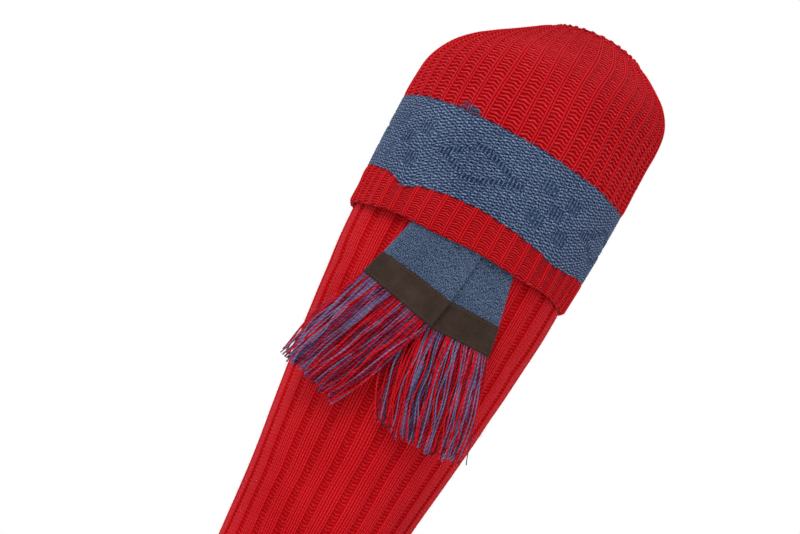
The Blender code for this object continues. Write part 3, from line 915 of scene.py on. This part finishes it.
CUFF_KNIT = (cuff_profile, cuff_stitch, CUFF_RIB_DEPTH, STITCH_HEIGHT, CUFF_CREASES)


def lift_stitches(base, ribs, v, profile, stitch, rib_depth, stitch_height, crease_table, fade=1.0):
    """The knitted surface: ribs, stitches and creases, lifted along the normals of a smooth base."""
    column = ribs[:-1][None]
    stitches = stitch(column, v[:, None]) - 0.5
    lift = rib_depth * profile(column) * fade + stitch_height * stitches - creases(crease_table, base)
    return base + grid_normals(base) * lift[..., None]


def build_cuff_hem():
    ribs = column_places(CUFF_RIBS, CUFF_PLACES)
    share = ribs[:-1] / CUFF_RIBS
    count = round((BAND_BOTTOM - HEM) / HEM_ROW)
    v = np.linspace(0.0, count, count * 3 + 1)
    heights = np.linspace(HEM, BAND_BOTTOM - SEAM_GAP / 2, len(v))[:, None]
    angles = FRONT + share * TAU - HEM_CLOSE * np.sin(share * TAU) + sway(share, heights, 0.6) / CUFF_MIDDLE
    top = run_at(BAND_BOTTOM_RUN, angles[0] - FRONT) + SEAM_LAP
    base = cuff_grid(heights + (v / count)[:, None] ** 1.5 * top, angles, CUFF_RIB_DEPTH)
    outer = lift_stitches(base, ribs, v, *CUFF_KNIT)
    draw_in(outer, near(count - v, 1.1) * SEAM_SINK)
    # the hem's edge rolls in and is a little uneven
    near_edge = near(v, 0.7)
    draw_in(outer, near_edge * 0.9)
    outer[..., 2] += near_edge * np.sin(share * TAU * 7 + 0.6) * 0.35
    outer = bulge(outer)
    inner, rows = wall_grid(base, CUFF_WALL, 8, 12)
    inner[0, :, 2] += 0.5
    knitting = walled_tube(outer, bulge(inner), ribs, 12, v, v[rows])
    HAIR_SITES.append((outer, "red", 1.0))
    edge = partial(blue_at_band_bottom, float(count))
    material = red_wool("red_hem", cuff_stitch, HEM_RIB, HEM_ROW, 0.95, 0.5, edge)
    return knitting.build("cuff_hem_knit", material)


def build_cuff_band():
    wales = column_places(BAND_WALES, WALE_PLACES)
    share = wales[:-1] / BAND_WALES
    v = np.linspace(0.0, BAND_ROWS, BAND_ROWS * 4 + 1)
    even = share * TAU - BAND_CLOSE * np.sin(share * TAU)
    low = BAND_BOTTOM + run_at(BAND_BOTTOM_RUN, even)
    high = BAND_TOP + run_at(BAND_TOP_RUN, even)
    level = mix(low, high, (v / BAND_ROWS)[:, None])
    base = cuff_grid(level, FRONT + even + sway(share, level, 0.5) / CUFF_MIDDLE, BAND_INSET)
    wale = wales[:-1][None]
    row = v[:, None]
    lift = BAND_STITCH_HEIGHT * (band_stitch(wale, row) - 0.5) - MOTIF_SINK * motif(wale, row)
    lift = lift - creases(CUFF_CREASES, base)
    outer = bulge(base + grid_normals(base) * lift[..., None])
    inner, rows = wall_grid(base, BAND_WALL - BAND_INSET, 10, 6)
    knitting = walled_tube(outer, bulge(inner), wales, 6, v, v[rows])
    HAIR_SITES.append((outer, "blue", 1.0))
    material = marled("blue_band", BLUE, band_stitch, BAND_WALE, BAND_ROW, 0.85, 0.6, 0.95, 2.1)
    return knitting.build("cuff_band_knit", material)


def build_cuff_upper():
    """The dome and the fold at the rim, and the length of its knitting."""
    ribs = column_places(CUFF_RIBS, CUFF_PLACES)
    share = ribs[:-1] / CUFF_RIBS
    start_radius, start_shift = (float(table_at(CUFF, BAND_TOP, k)) for k in (1, 2))
    dome = [(BAND_TOP + SEAM_GAP / 2, start_radius - CUFF_RIB_DEPTH, start_shift)]
    above_band = [row for row in CUFF if row[0] > BAND_TOP + 1]
    dome += [(height, radius - CUFF_RIB_DEPTH, shift) for height, radius, shift in above_band]
    places, rows = curve_through(dome + list(RIM), CUFF_ROW / 3)
    v = places / CUFF_ROW
    radius = rows[:, 1][:, None]
    turn = dome_turn(share, radius, rows[:, 2][:, None])
    fall = sway(share, places[:, None], 0.9) * np.sqrt(radius / CUFF_MIDDLE) / radius
    angles = FRONT + share * TAU + turn + fall
    base = section_grid(level_sections(rows), angles)
    run = run_at(BAND_TOP_RUN, angles[0] - FRONT) - SEAM_LAP
    base[..., 2] += run * (1 - smooth(places / SEAM_RUN_OUT))[:, None]
    front_share = (0.5 - 0.5 * np.sin(angles)) ** 4
    base[..., 2] += RIM_RISE * smooth((base[..., 2] - RIM_RISE_FROM) / RIM_RISE_OVER) * front_share
    # the ribs flatten over the fold
    fade = mix(1.0, 0.45, smooth((places - places[-1] + 20.0) / 12.0))[:, None]
    outer = lift_stitches(base, ribs, v, *CUFF_KNIT, fade)
    draw_in(outer, near(v, 1.1) * SEAM_SINK)
    outer = bulge(outer)
    inset = CUFF_RIB_DEPTH + CUFF_WALL
    inside = tuple((height - 1.0, radius - inset, shift) for height, radius, shift in CUFF[-3:5:-1])
    back = level_sections(RIM_BACK + inside)
    turn = dome_turn(share, back[:, 4][:, None], (back[:, 0] + back[:, 4])[:, None])
    first = base[:1] - grid_normals(base)[:1] * CUFF_WALL
    inner = np.concatenate([section_grid(back, FRONT + share * TAU + turn), first])[:, ::6]
    inner_u = ribs[::6]
    knitting = Knitting()
    low, high = knitting.tube(outer, ribs, v)
    in_low, in_high = knitting.tube(bulge(inner), inner_u, np.linspace(v[-1], v[0], len(inner)))
    knitting.zip(high, ribs, in_low, inner_u, v[-1])
    knitting.zip(in_high, inner_u, low, ribs, v[0])
    HAIR_SITES.append((outer, "red", 1.0))
    material = red_wool("red_cuff", cuff_stitch, CUFF_RIB, CUFF_ROW, 1.05, 0.6, blue_at_band_top)
    return knitting.build("cuff_upper_knit", material), float(places[-1])


def leg_shell(sections, v, fade, crease_table, stitch=leg_stitch):
    """The leg's columns, its smooth base and its knitted outside, along some sections."""
    ribs = column_places(LEG_RIBS, LEG_PLACES)
    share = ribs[:-1] / LEG_RIBS
    half = np.maximum(sections[:, 4], 20.0)[:, None]
    angles = FRONT + share * TAU + sway(share, (v * LEG_ROW)[:, None], 0.7) * fade / half
    base = section_grid(sections, angles)
    knit = (leg_profile, stitch, LEG_RIB_DEPTH, LEG_STITCH_HEIGHT, crease_table)
    return ribs, base, lift_stitches(base, ribs, v, *knit, fade)


def build_leg():
    places, rows = curve_through([row for row in LEG if row[0] <= TOP_SEAM], LEG_ROW / 2)
    rows[0, 0] += SEAM_GAP / 2
    rows[-1, 0] -= SEAM_GAP / 2
    v = places / LEG_ROW
    ribs, base, outer = leg_shell(level_sections(rows, LEG_RIB_DEPTH), v, 1.0, LEG_CREASES)
    inner, kept = wall_grid(base, LEG_WALL, 16, 6)
    knitting = walled_tube(outer, inner, ribs, 6, v, v[kept])
    HAIR_SITES.append((outer, "red", 1.3))
    material = red_wool("red_leg", leg_stitch, LEG_RIB, LEG_ROW, 0.8, 0.32, middle=0.44)
    return knitting.build("leg_knit", material), material


def build_leg_top(material):
    crest = [(TOP_SEAM, TOP_SEAM_RADIUS - LEG_RIB_DEPTH, 0.0)]
    crest += [(height, radius - LEG_RIB_DEPTH, 0.0) for height, radius in LEG if height > TOP_SEAM]
    places, rows = curve_through(crest + list(LEG_TOP), LEG_ROW * 1.5)
    rows[0, 0] += SEAM_GAP / 2
    v = places / LEG_ROW
    fade = (1 - smooth((rows[:, 0] - (LEG_RIB_END - LEG_RIB_FADE)) / LEG_RIB_FADE))[:, None]
    ribs, base, outer = leg_shell(level_sections(rows), v, fade, ())
    outer = base + (outer - base) * np.where(fade > 0.01, 1.0, 0.0)[..., None]
    inner, kept = wall_grid(base, LEG_WALL, 3, 6)
    return walled_tube(outer, inner, ribs, 6, v, v[kept]).build("leg_top_knit", material)


def build_foot():
    places, sections = curve_through(FOOT[::-1], LEG_ROW)
    v = places / LEG_ROW
    sections[:, 1] = np.maximum(sections[:, 1], SOLE)
    fade = smooth((sections[:, 1] - FOOT_RIB_END) / (ANKLE - FOOT_RIB_END))[:, None]
    ribbed_from = float(v[-1]) - FOOT_RIB_ROWS

    def stitch(rib, row):
        ribbed = smooth((row - ribbed_from) / FOOT_RIB_FADE)
        return mix(plain_stitch(rib * FOOT_RIB_WALES, row), leg_stitch(rib, row), ribbed)

    ribs, base, outer = leg_shell(sections, v, fade, LEG_CREASES, stitch)
    # its top edge closes the gap under the leg
    outer[-1, :, 2] += SEAM_GAP
    # the sole rests on the floor and stays flat
    outer[..., 2] = np.maximum(outer[..., 2], SOLE)
    inner, kept = wall_grid(base, FOOT_WALL, 6, 6)
    inner_u = ribs[::6]
    tip = Vector(TOE_TIP)
    knitting = Knitting()
    low, high = knitting.tube(outer, ribs, v)
    in_low, in_high = knitting.tube(inner, inner_u, v[kept], inside=True)
    knitting.zip(high, ribs, in_high, inner_u, v[-1])
    knitting.fan(low, ribs, tip, v[0], turned=True)
    knitting.fan(in_low, inner_u, tip - Vector((FOOT_WALL, 0, 0)), v[0])
    HAIR_SITES.append((outer, "red", 0.5))
    material = red_wool("red_foot", stitch, LEG_RIB, LEG_ROW, 0.75, 0.32, middle=0.44)
    return knitting.build("foot_knit", material)


def build_strap():
    """The garter's strap, a woven band round the leg under the cuff."""
    angles = FRONT + np.arange(STRAP_POINTS) / STRAP_POINTS * TAU
    rise = np.linspace(-STRAP_HALF_HEIGHT, STRAP_HALF_HEIGHT, STRAP_ROWS)
    relief = STRAP_RIB_DEPTH * np.cos(rise * (TAU / STRAP_RIB))
    radius = table_at(LEG, rise, 1) + SEAM_GAP + STRAP_THICK + relief
    rows = np.stack([rise, radius], axis=1)
    outer = section_grid(level_sections(rows), angles)
    inner = section_grid(level_sections(rows, STRAP_THICK - 0.1), angles)
    u = np.arange(STRAP_POINTS + 1) / 2.0
    return walled_tube(outer, inner, u, 1, rise, rise).build("garter_strap_weave", elastic())


def hang_points(x, height, lift):
    """Points of the surface on which tapes and fringe hang, lifted outward from the leg."""
    front = table_at(HANG, height, 1)
    radius = table_at(HANG, height, 2) + lift
    drop = radius - np.sqrt(radius**2 - np.asarray(x) ** 2)
    return np.stack(np.broadcast_arrays(x, -(front + lift - drop), height), axis=-1)


def tape_corners(tape, down):
    """Both ends of a level across a tape: 0 is at the hem, 1 and 2 at the strip's long edges."""
    levels = np.array([tape["hem"], tape["strip_top"], tape["strip_bottom"]])
    low = np.clip(np.floor(down), 0, 1).astype(int)
    return mix(levels[low], levels[low + 1], (down - low)[..., None, None])


def tape_points(tape, share, down, lift):
    """Points on a tape at shares of its width, at levels down it, lifted from its back."""
    share, down, lift = np.broadcast_arrays(share, down, lift)
    ends = tape_corners(tape, down)
    place = mix(ends[..., 0, :], ends[..., 1, :], share[..., None])
    rise = mix(tape["lifts"][0], tape["lifts"][1], smooth(down))
    return hang_points(place[..., 0], place[..., 1], rise + lift)


def flat_piece(name, tape, downs, low, thick, columns, relief, u_size, v_size, material, beyond=0.0):
    """A closed flat piece on a tape, with a round edge and a relief on its front.

    u_size and v_size are what its width and length count in its stitch places.
    """
    down = downs[::-1][:, None]
    front = np.linspace(-beyond, 1 + beyond, columns + 1)
    to_edge = np.clip((np.abs(front - 0.5) - (0.5 + beyond - EDGE_SHARE)) / EDGE_SHARE, 0.0, 1.0)
    swell = np.sqrt(1 - to_edge**2) * 0.6 + 0.4
    face = tape_points(tape, front, down, low + thick * swell + relief(front, down) * swell)
    behind = np.linspace(1 + beyond - EDGE_SHARE / 2, -beyond + EDGE_SHARE / 2, columns // 6)
    grid = np.concatenate([face, tape_points(tape, behind, down, low)], axis=1)
    u = np.concatenate([front, 2 - behind, [2.0]]) * u_size
    v = (downs[-1] - downs[::-1]) / (downs[-1] - downs[0]) * v_size
    knitting = Knitting()
    first, last = knitting.tube(grid, u, v)
    knitting.fan(first, u, grid[0].mean(axis=0), v[0], turned=True)
    knitting.fan(last, u, grid[-1].mean(axis=0), v[-1])
    return knitting.build(name, material), face


def build_tape(tape):
    """A knitted tape from under the hem to behind its strip."""

    def relief(share, down):
        row = (TAPE_END - down) / (TAPE_END - TAPE_TOP) * TAPE_ROWS
        stitches = plain_stitch(share * TAPE_WALES, row)
        to_side = np.abs(share * 2 - 1)
        folds = 0.3 * np.sin(share * 7.5 + down * 1.1) * np.sin(down * 1.7 + 0.8)
        # both edges roll a little, so that the last columns stand up
        roll = np.exp(-(((to_side - 0.86) / 0.07) ** 2)) * 0.35
        return stitches * TAPE_STITCH_HEIGHT - to_side**10 * 0.5 + folds + roll

    name = "tape_" + tape["side"]
    downs = np.linspace(TAPE_TOP, TAPE_END, TAPE_ROWS * 2 + 1)
    material = marled("blue_" + name, TAPE_BLUE, plain_stitch, TAPE_WALE, TAPE_ROW, 1.0, 0.35, 2.6, 3.0, 0.6)
    piece, face = flat_piece(
        name, tape, downs, 0.0, TAPE_THICK, TAPE_WALES * 3, relief, TAPE_WALES, TAPE_ROWS, material
    )
    HAIR_SITES.append((face, "blue", 1.2))
    return piece


def build_strip(tape, material):
    def relief(share, down):
        into = np.minimum(down - 1.0, 2.0 - down) * STRIP_HEIGHT
        edge = (1 - smooth(into / 0.8)) * -0.35
        # the rows of stitching pull the strip in a little
        seam = np.exp(-(((into - STITCH_INSET) / 0.5) ** 2)) * -0.12
        rough = 0.06 * np.sin(share * 71.0 + down * 31.0) * np.sin(down * 43.0 - share * 27.0)
        return edge + seam + rough

    name = "strip_" + tape["side"] + "_suede"
    downs = np.linspace(1.0, 2.0, 36)
    return flat_piece(
        name, tape, downs, STRIP_LIFT, STRIP_THICK, 96, relief, TAPE_WIDTH, STRIP_HEIGHT, material, 0.006
    )[0]


def strand(knitting, path, radii, sides):
    """A closed round yarn along a path, in the places of turns and of millimetres along it."""
    along = unit(np.gradient(path, axis=0))
    side = unit(np.cross(along, (0.0, 1.0, 0.02)))
    up = np.cross(along, side)
    turn = (np.arange(sides) / sides * TAU)[None, :, None]
    ring = side[:, None] * np.cos(turn) + up[:, None] * np.sin(turn)
    u = np.arange(sides + 1) / sides
    v = np.concatenate(([0.0], np.cumsum(np.linalg.norm(np.diff(path, axis=0), axis=1))))
    first, last = knitting.tube(path[:, None] + ring * radii[:, None, None], u, v)
    knitting.fan(first, u, path[0] - along[0] * radii[0] * 0.5, v[0], turned=True)
    knitting.fan(last, u, path[-1] + along[-1] * radii[-1] * 0.5, v[-1])


def build_thread(tape, material):
    """Short stitches along both edges of a strip."""
    chance = random.Random(SEED + 11 + len(tape["side"]))
    knitting = Knitting()
    count = int((TAPE_WIDTH - 2.0) / STITCH_STEP)
    t = np.linspace(-1, 1, 5)
    lift = STRIP_LIFT + STRIP_THICK - 0.1 + 0.12 * (1 - t**4)
    radii = 0.08 + 0.1 * np.sqrt(1 - 0.9 * t**2)
    for inset in (STITCH_INSET, STRIP_HEIGHT - STITCH_INSET):
        for k in range(count):
            share = 0.5 + ((k - (count - 1) / 2) * STITCH_STEP + chance.uniform(-0.1, 0.1)) / TAPE_WIDTH
            down = 1.0 + (inset + chance.uniform(-0.08, 0.08)) / STRIP_HEIGHT
            path = tape_points(tape, share + t * (STITCH_LENGTH / 2 / TAPE_WIDTH), down, lift)
            strand(knitting, path, radii, 5)
    return knitting.build("stitches_" + tape["side"], material)


def build_fringe(tape, yarns):
    """Layers of twisted yarns that hang from behind the strip and gather in clumps at their ends."""
    chance = random.Random(SEED + len(tape["side"]))
    knitting = Knitting()
    kinds = []
    tips = np.array(tape["tips"])
    tip_shares = np.linspace(0.0, 1.0, len(tips))
    ends = tape_corners(tape, np.array(1.8))
    clumps = [
        ((k + 0.5) / CLUMPS + chance.uniform(-0.04, 0.04), chance.uniform(-1.3, 1.3)) for k in range(CLUMPS)
    ]
    t = np.linspace(0.0, 1.0, STRAND_STEPS + 1)
    rise = mix(tape["lifts"][1], tape["lifts"][2], smooth(t))

    def add_yarn(x, height, lift, radius, kind):
        start = len(knitting.faces)
        points = hang_points(x, height, rise + np.maximum(lift, radius + 0.05))
        strand(knitting, points, radius * (1 + 0.15 * smooth((t - 0.93) / 0.05)), 6)
        kinds.extend([kind] * (len(knitting.faces) - start))

    kind = 0
    for count, root_lift, loose_lift in FRINGE_LAYERS:
        for k in range(count):
            if chance.random() > YARN_STAYS:
                kind = chance.choices(range(len(YARNS)), [share for _, share, _ in YARNS])[0]
            share = (k + 0.5 + chance.uniform(-0.45, 0.45)) / count
            middle, drop = min(clumps, key=lambda clump: abs(clump[0] - share))
            end = mix(share, middle, chance.uniform(0.1, 0.9)) + chance.gauss(0.0, 0.06)
            end = min(max(end, chance.uniform(-0.01, 0.04)), chance.uniform(0.96, 1.01))
            tip = np.array([np.interp(end, tip_shares, tips[:, axis]) for axis in (0, 1)])
            tip[1] += 0.9 - drop * 0.7 + min(chance.gauss(0.0, 0.9), 2.0)
            root = ends[0] * (0.985 - 0.97 * share) + ends[1] * (0.015 + 0.97 * share)
            halfway = (root + tip) / 2
            halfway[0] += mix(*tape["bows"], share) + chance.gauss(0.0, 2.2)
            path = np.outer((1 - t) ** 2, root) + np.outer(2 * t * (1 - t), halfway) + np.outer(t * t, tip)
            curl = chance.uniform(0.2, 1.1)
            phase = chance.uniform(0, TAU)
            turn = chance.uniform(0.7, 2.2) * TAU * t + phase
            across = curl * (np.sin(turn) - math.sin(phase)) * smooth(t * 2.5)
            lift = mix(root_lift, loose_lift, smooth((t - 0.12) / 0.4))
            lift = lift + 0.4 * curl * np.cos(turn) * t + chance.uniform(0.0, 0.5) * t
            add_yarn(path[:, 0] + across, path[:, 1], lift, chance.uniform(*YARN_RADIUS), kind)
    stray = curve_through(tape["stray"], 1.0)[1]
    along = np.linspace(0, 1, len(stray))
    x, height = (np.interp(t, along, stray[:, axis]) for axis in (0, 1))
    add_yarn(x, height, 0.6 + 0.5 * t, STRAY_RADIUS, tape["stray_kind"])
    return knitting.build("yarns_" + tape["side"], *yarns, kinds=kinds)


def build_tufts(material):
    """Short loops of blue yarn that stand out where colours change."""
    chance = random.Random(SEED + 3)
    knitting = Knitting()
    t = np.linspace(0.0, 1.0, 9)
    hill = np.sin(t * math.pi)
    for angle, height, spread, rise, count in TUFTS:
        for _ in range(count):
            at = math.radians(angle + chance.uniform(-spread, spread))
            level = height + chance.uniform(-rise, rise)
            way = chance.uniform(-0.5, 0.5) + chance.choice((0.0, math.pi))
            along = (t - 0.5) * chance.uniform(1.5, 3.4)
            aside = chance.uniform(-1.2, 1.2) * hill
            turned = at + (along * math.cos(way) - aside * math.sin(way)) / TUFT_AT
            level = level + along * math.sin(way) + aside * math.cos(way)
            # the hill lifts each loop's middle off the knitting
            lift = table_at(CUFF, level, 1) - 0.3 + chance.uniform(0.5, 1.2) * hill
            shift = table_at(CUFF, level, 2)
            path = np.stack([shift + lift * np.sin(turned), -lift * np.cos(turned), level], axis=1)
            strand(knitting, bulge(path[None])[0], np.full(len(t), chance.uniform(0.1, 0.17)), 5)
    return knitting.build("tufts_blue", material)


def build_fuzz(kind, material):
    """Loose fibres all over the knitting of one colour, each a thin closed spike."""
    chance = np.random.RandomState(SEED)
    roots = []
    ways = []
    for grid, site_kind, density in HAIR_SITES:
        if site_kind != kind:
            continue
        across = np.roll(grid, -1, axis=1) - grid
        area = np.linalg.norm(np.cross(across, np.gradient(grid, axis=0)), axis=2)
        count = int(area.sum() * FUZZ_PER_AREA * density)
        picked = chance.choice(area.size, count, p=(area / area.sum()).ravel())
        roots.append(grid.reshape(-1, 3)[picked])
        tilt = chance.uniform(-1, 1, (count, 3))
        normals = grid_normals(grid).reshape(-1, 3)[picked]
        ways.append(normals * chance.uniform(0.3, 1.1, (count, 1)) + tilt * 0.9)
    roots = np.concatenate(roots)
    ways = unit(np.concatenate(ways))
    lengths = np.minimum(0.5 + chance.gamma(2.0, 0.35, len(roots)), FUZZ_LONGEST)
    helper = np.where(np.abs(ways[:, 2:]) < 0.8, [[0.0, 0.0, 1.0]], [[1.0, 0.0, 0.0]])
    side = unit(np.cross(ways, helper))
    up = np.cross(ways, side)
    points = np.empty((len(roots), 4, 3))
    for k in range(3):
        turn = TAU * k / 3
        points[:, k] = roots + FUZZ_RADIUS * (side * math.cos(turn) + up * math.sin(turn))
    points[:, 3] = roots + ways * lengths[:, None]
    corners = np.array(((0, 2, 1), (0, 1, 3), (1, 2, 3), (2, 0, 3)))
    knitting = Knitting()
    knitting.add(points)
    knitting.faces = (np.arange(len(roots))[:, None, None] * 4 + corners).reshape(-1, 3).tolist()
    places = np.stack([corners.ravel() / 3.0, np.where(corners == 3, 1.0, 0.0).ravel()], axis=1)
    knitting.places = [np.tile(places, (len(roots), 1))]
    return knitting.build("fuzz_" + kind, material)


def show(item, slot, *nodes):
    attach(item, "root")
    if nodes:
        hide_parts(*nodes)
    return item


def place_camera():
    data = bpy.data.cameras.new("camera")
    data.sensor_width = SENSOR
    data.lens = SENSOR * FOCAL_SHARE
    camera = add_object("camera", data)
    forward = Vector((0.0, math.cos(PITCH), math.sin(PITCH)))
    level_up = Vector((0.0, -math.sin(PITCH), math.cos(PITCH)))
    level_right = Vector((1.0, 0.0, 0.0))
    right = level_right * math.cos(ROLL) + level_up * math.sin(ROLL)
    up = level_up * math.cos(ROLL) - level_right * math.sin(ROLL)
    turned = Matrix((right, up, -forward)).transposed().to_4x4()
    turned.translation = TARGET - forward * DISTANCE
    camera.matrix_world = turned
    bpy.context.scene.camera = camera


def make_studio():
    """A white world, a plain pale floor under the sole, and soft lights."""
    world = bpy.data.worlds.new("studio")
    world.use_nodes = True
    background = world.node_tree.nodes["Background"]
    background.inputs["Color"].default_value = (1.0, 1.0, 1.0, 1.0)
    background.inputs["Strength"].default_value = 1.0
    bpy.context.scene.world = world
    bpy.context.scene.view_settings.view_transform = "Standard"
    mesh = bpy.data.meshes.new("floor")
    level = (SOLE - FLOOR_DROP) * MM
    corners = [(x * FLOOR_HALF, y * FLOOR_HALF, level) for x, y in ((-1, -1), (1, -1), (1, 1), (-1, 1))]
    mesh.from_pydata(corners, [], [(0, 1, 2, 3)])
    material = start_material("floor")
    shader = material.node_tree.nodes["Principled BSDF"]
    shader.inputs["Base Color"].default_value = FLOOR_COLOUR
    shader.inputs["Roughness"].default_value = 0.9
    mesh.materials.append(material)
    add_object("floor", mesh)
    for name, place, target, size, power in LIGHTS:
        data = bpy.data.lights.new(name, "AREA")
        data.shape = "SQUARE"
        data.size = size
        data.energy = power
        light = add_object(name, data)
        light.location = place
        light.rotation_euler = (Vector(target) - Vector(place)).to_track_quat("-Z", "Y").to_euler()


place_camera()
make_studio()

hem = show(build_cuff_hem(), "red_wool", "cuff_hem")
band = show(build_cuff_band(), "blue_wool", "cuff_band")
upper, upper_length = build_cuff_upper()
show(upper, "red_wool", "cuff_upper")
leg, leg_material = build_leg()
show(leg, "red_wool", "leg")
leg_top = show(build_leg_top(leg_material), "red_wool", "leg_top")
foot = show(build_foot(), "red_wool", "foot")
show(build_strap(), "elastic", "garter_strap")

brown = suede()
thread = yarn("brown_thread", THREAD)
yarns = [yarn(name, colours) for name, _, colours in YARNS]
for tape in FLASH:
    side = tape["side"]
    show(build_tape(tape), "blue_tape", "tail_" + side)
    show(build_strip(tape, brown), "brown_suede", "strip_" + side)
    show(build_thread(tape, thread), "brown_suede")
    show(build_fringe(tape, yarns), "fringe_yarn", "fringe_" + side)

show(build_tufts(yarn("blue_wisps", BLUE)), "blue_wool")
show(build_fuzz("red", fuzz("fuzz_red", RED)), "red_wool")
show(build_fuzz("blue", fuzz("fuzz_blue", BLUE)), "blue_wool")
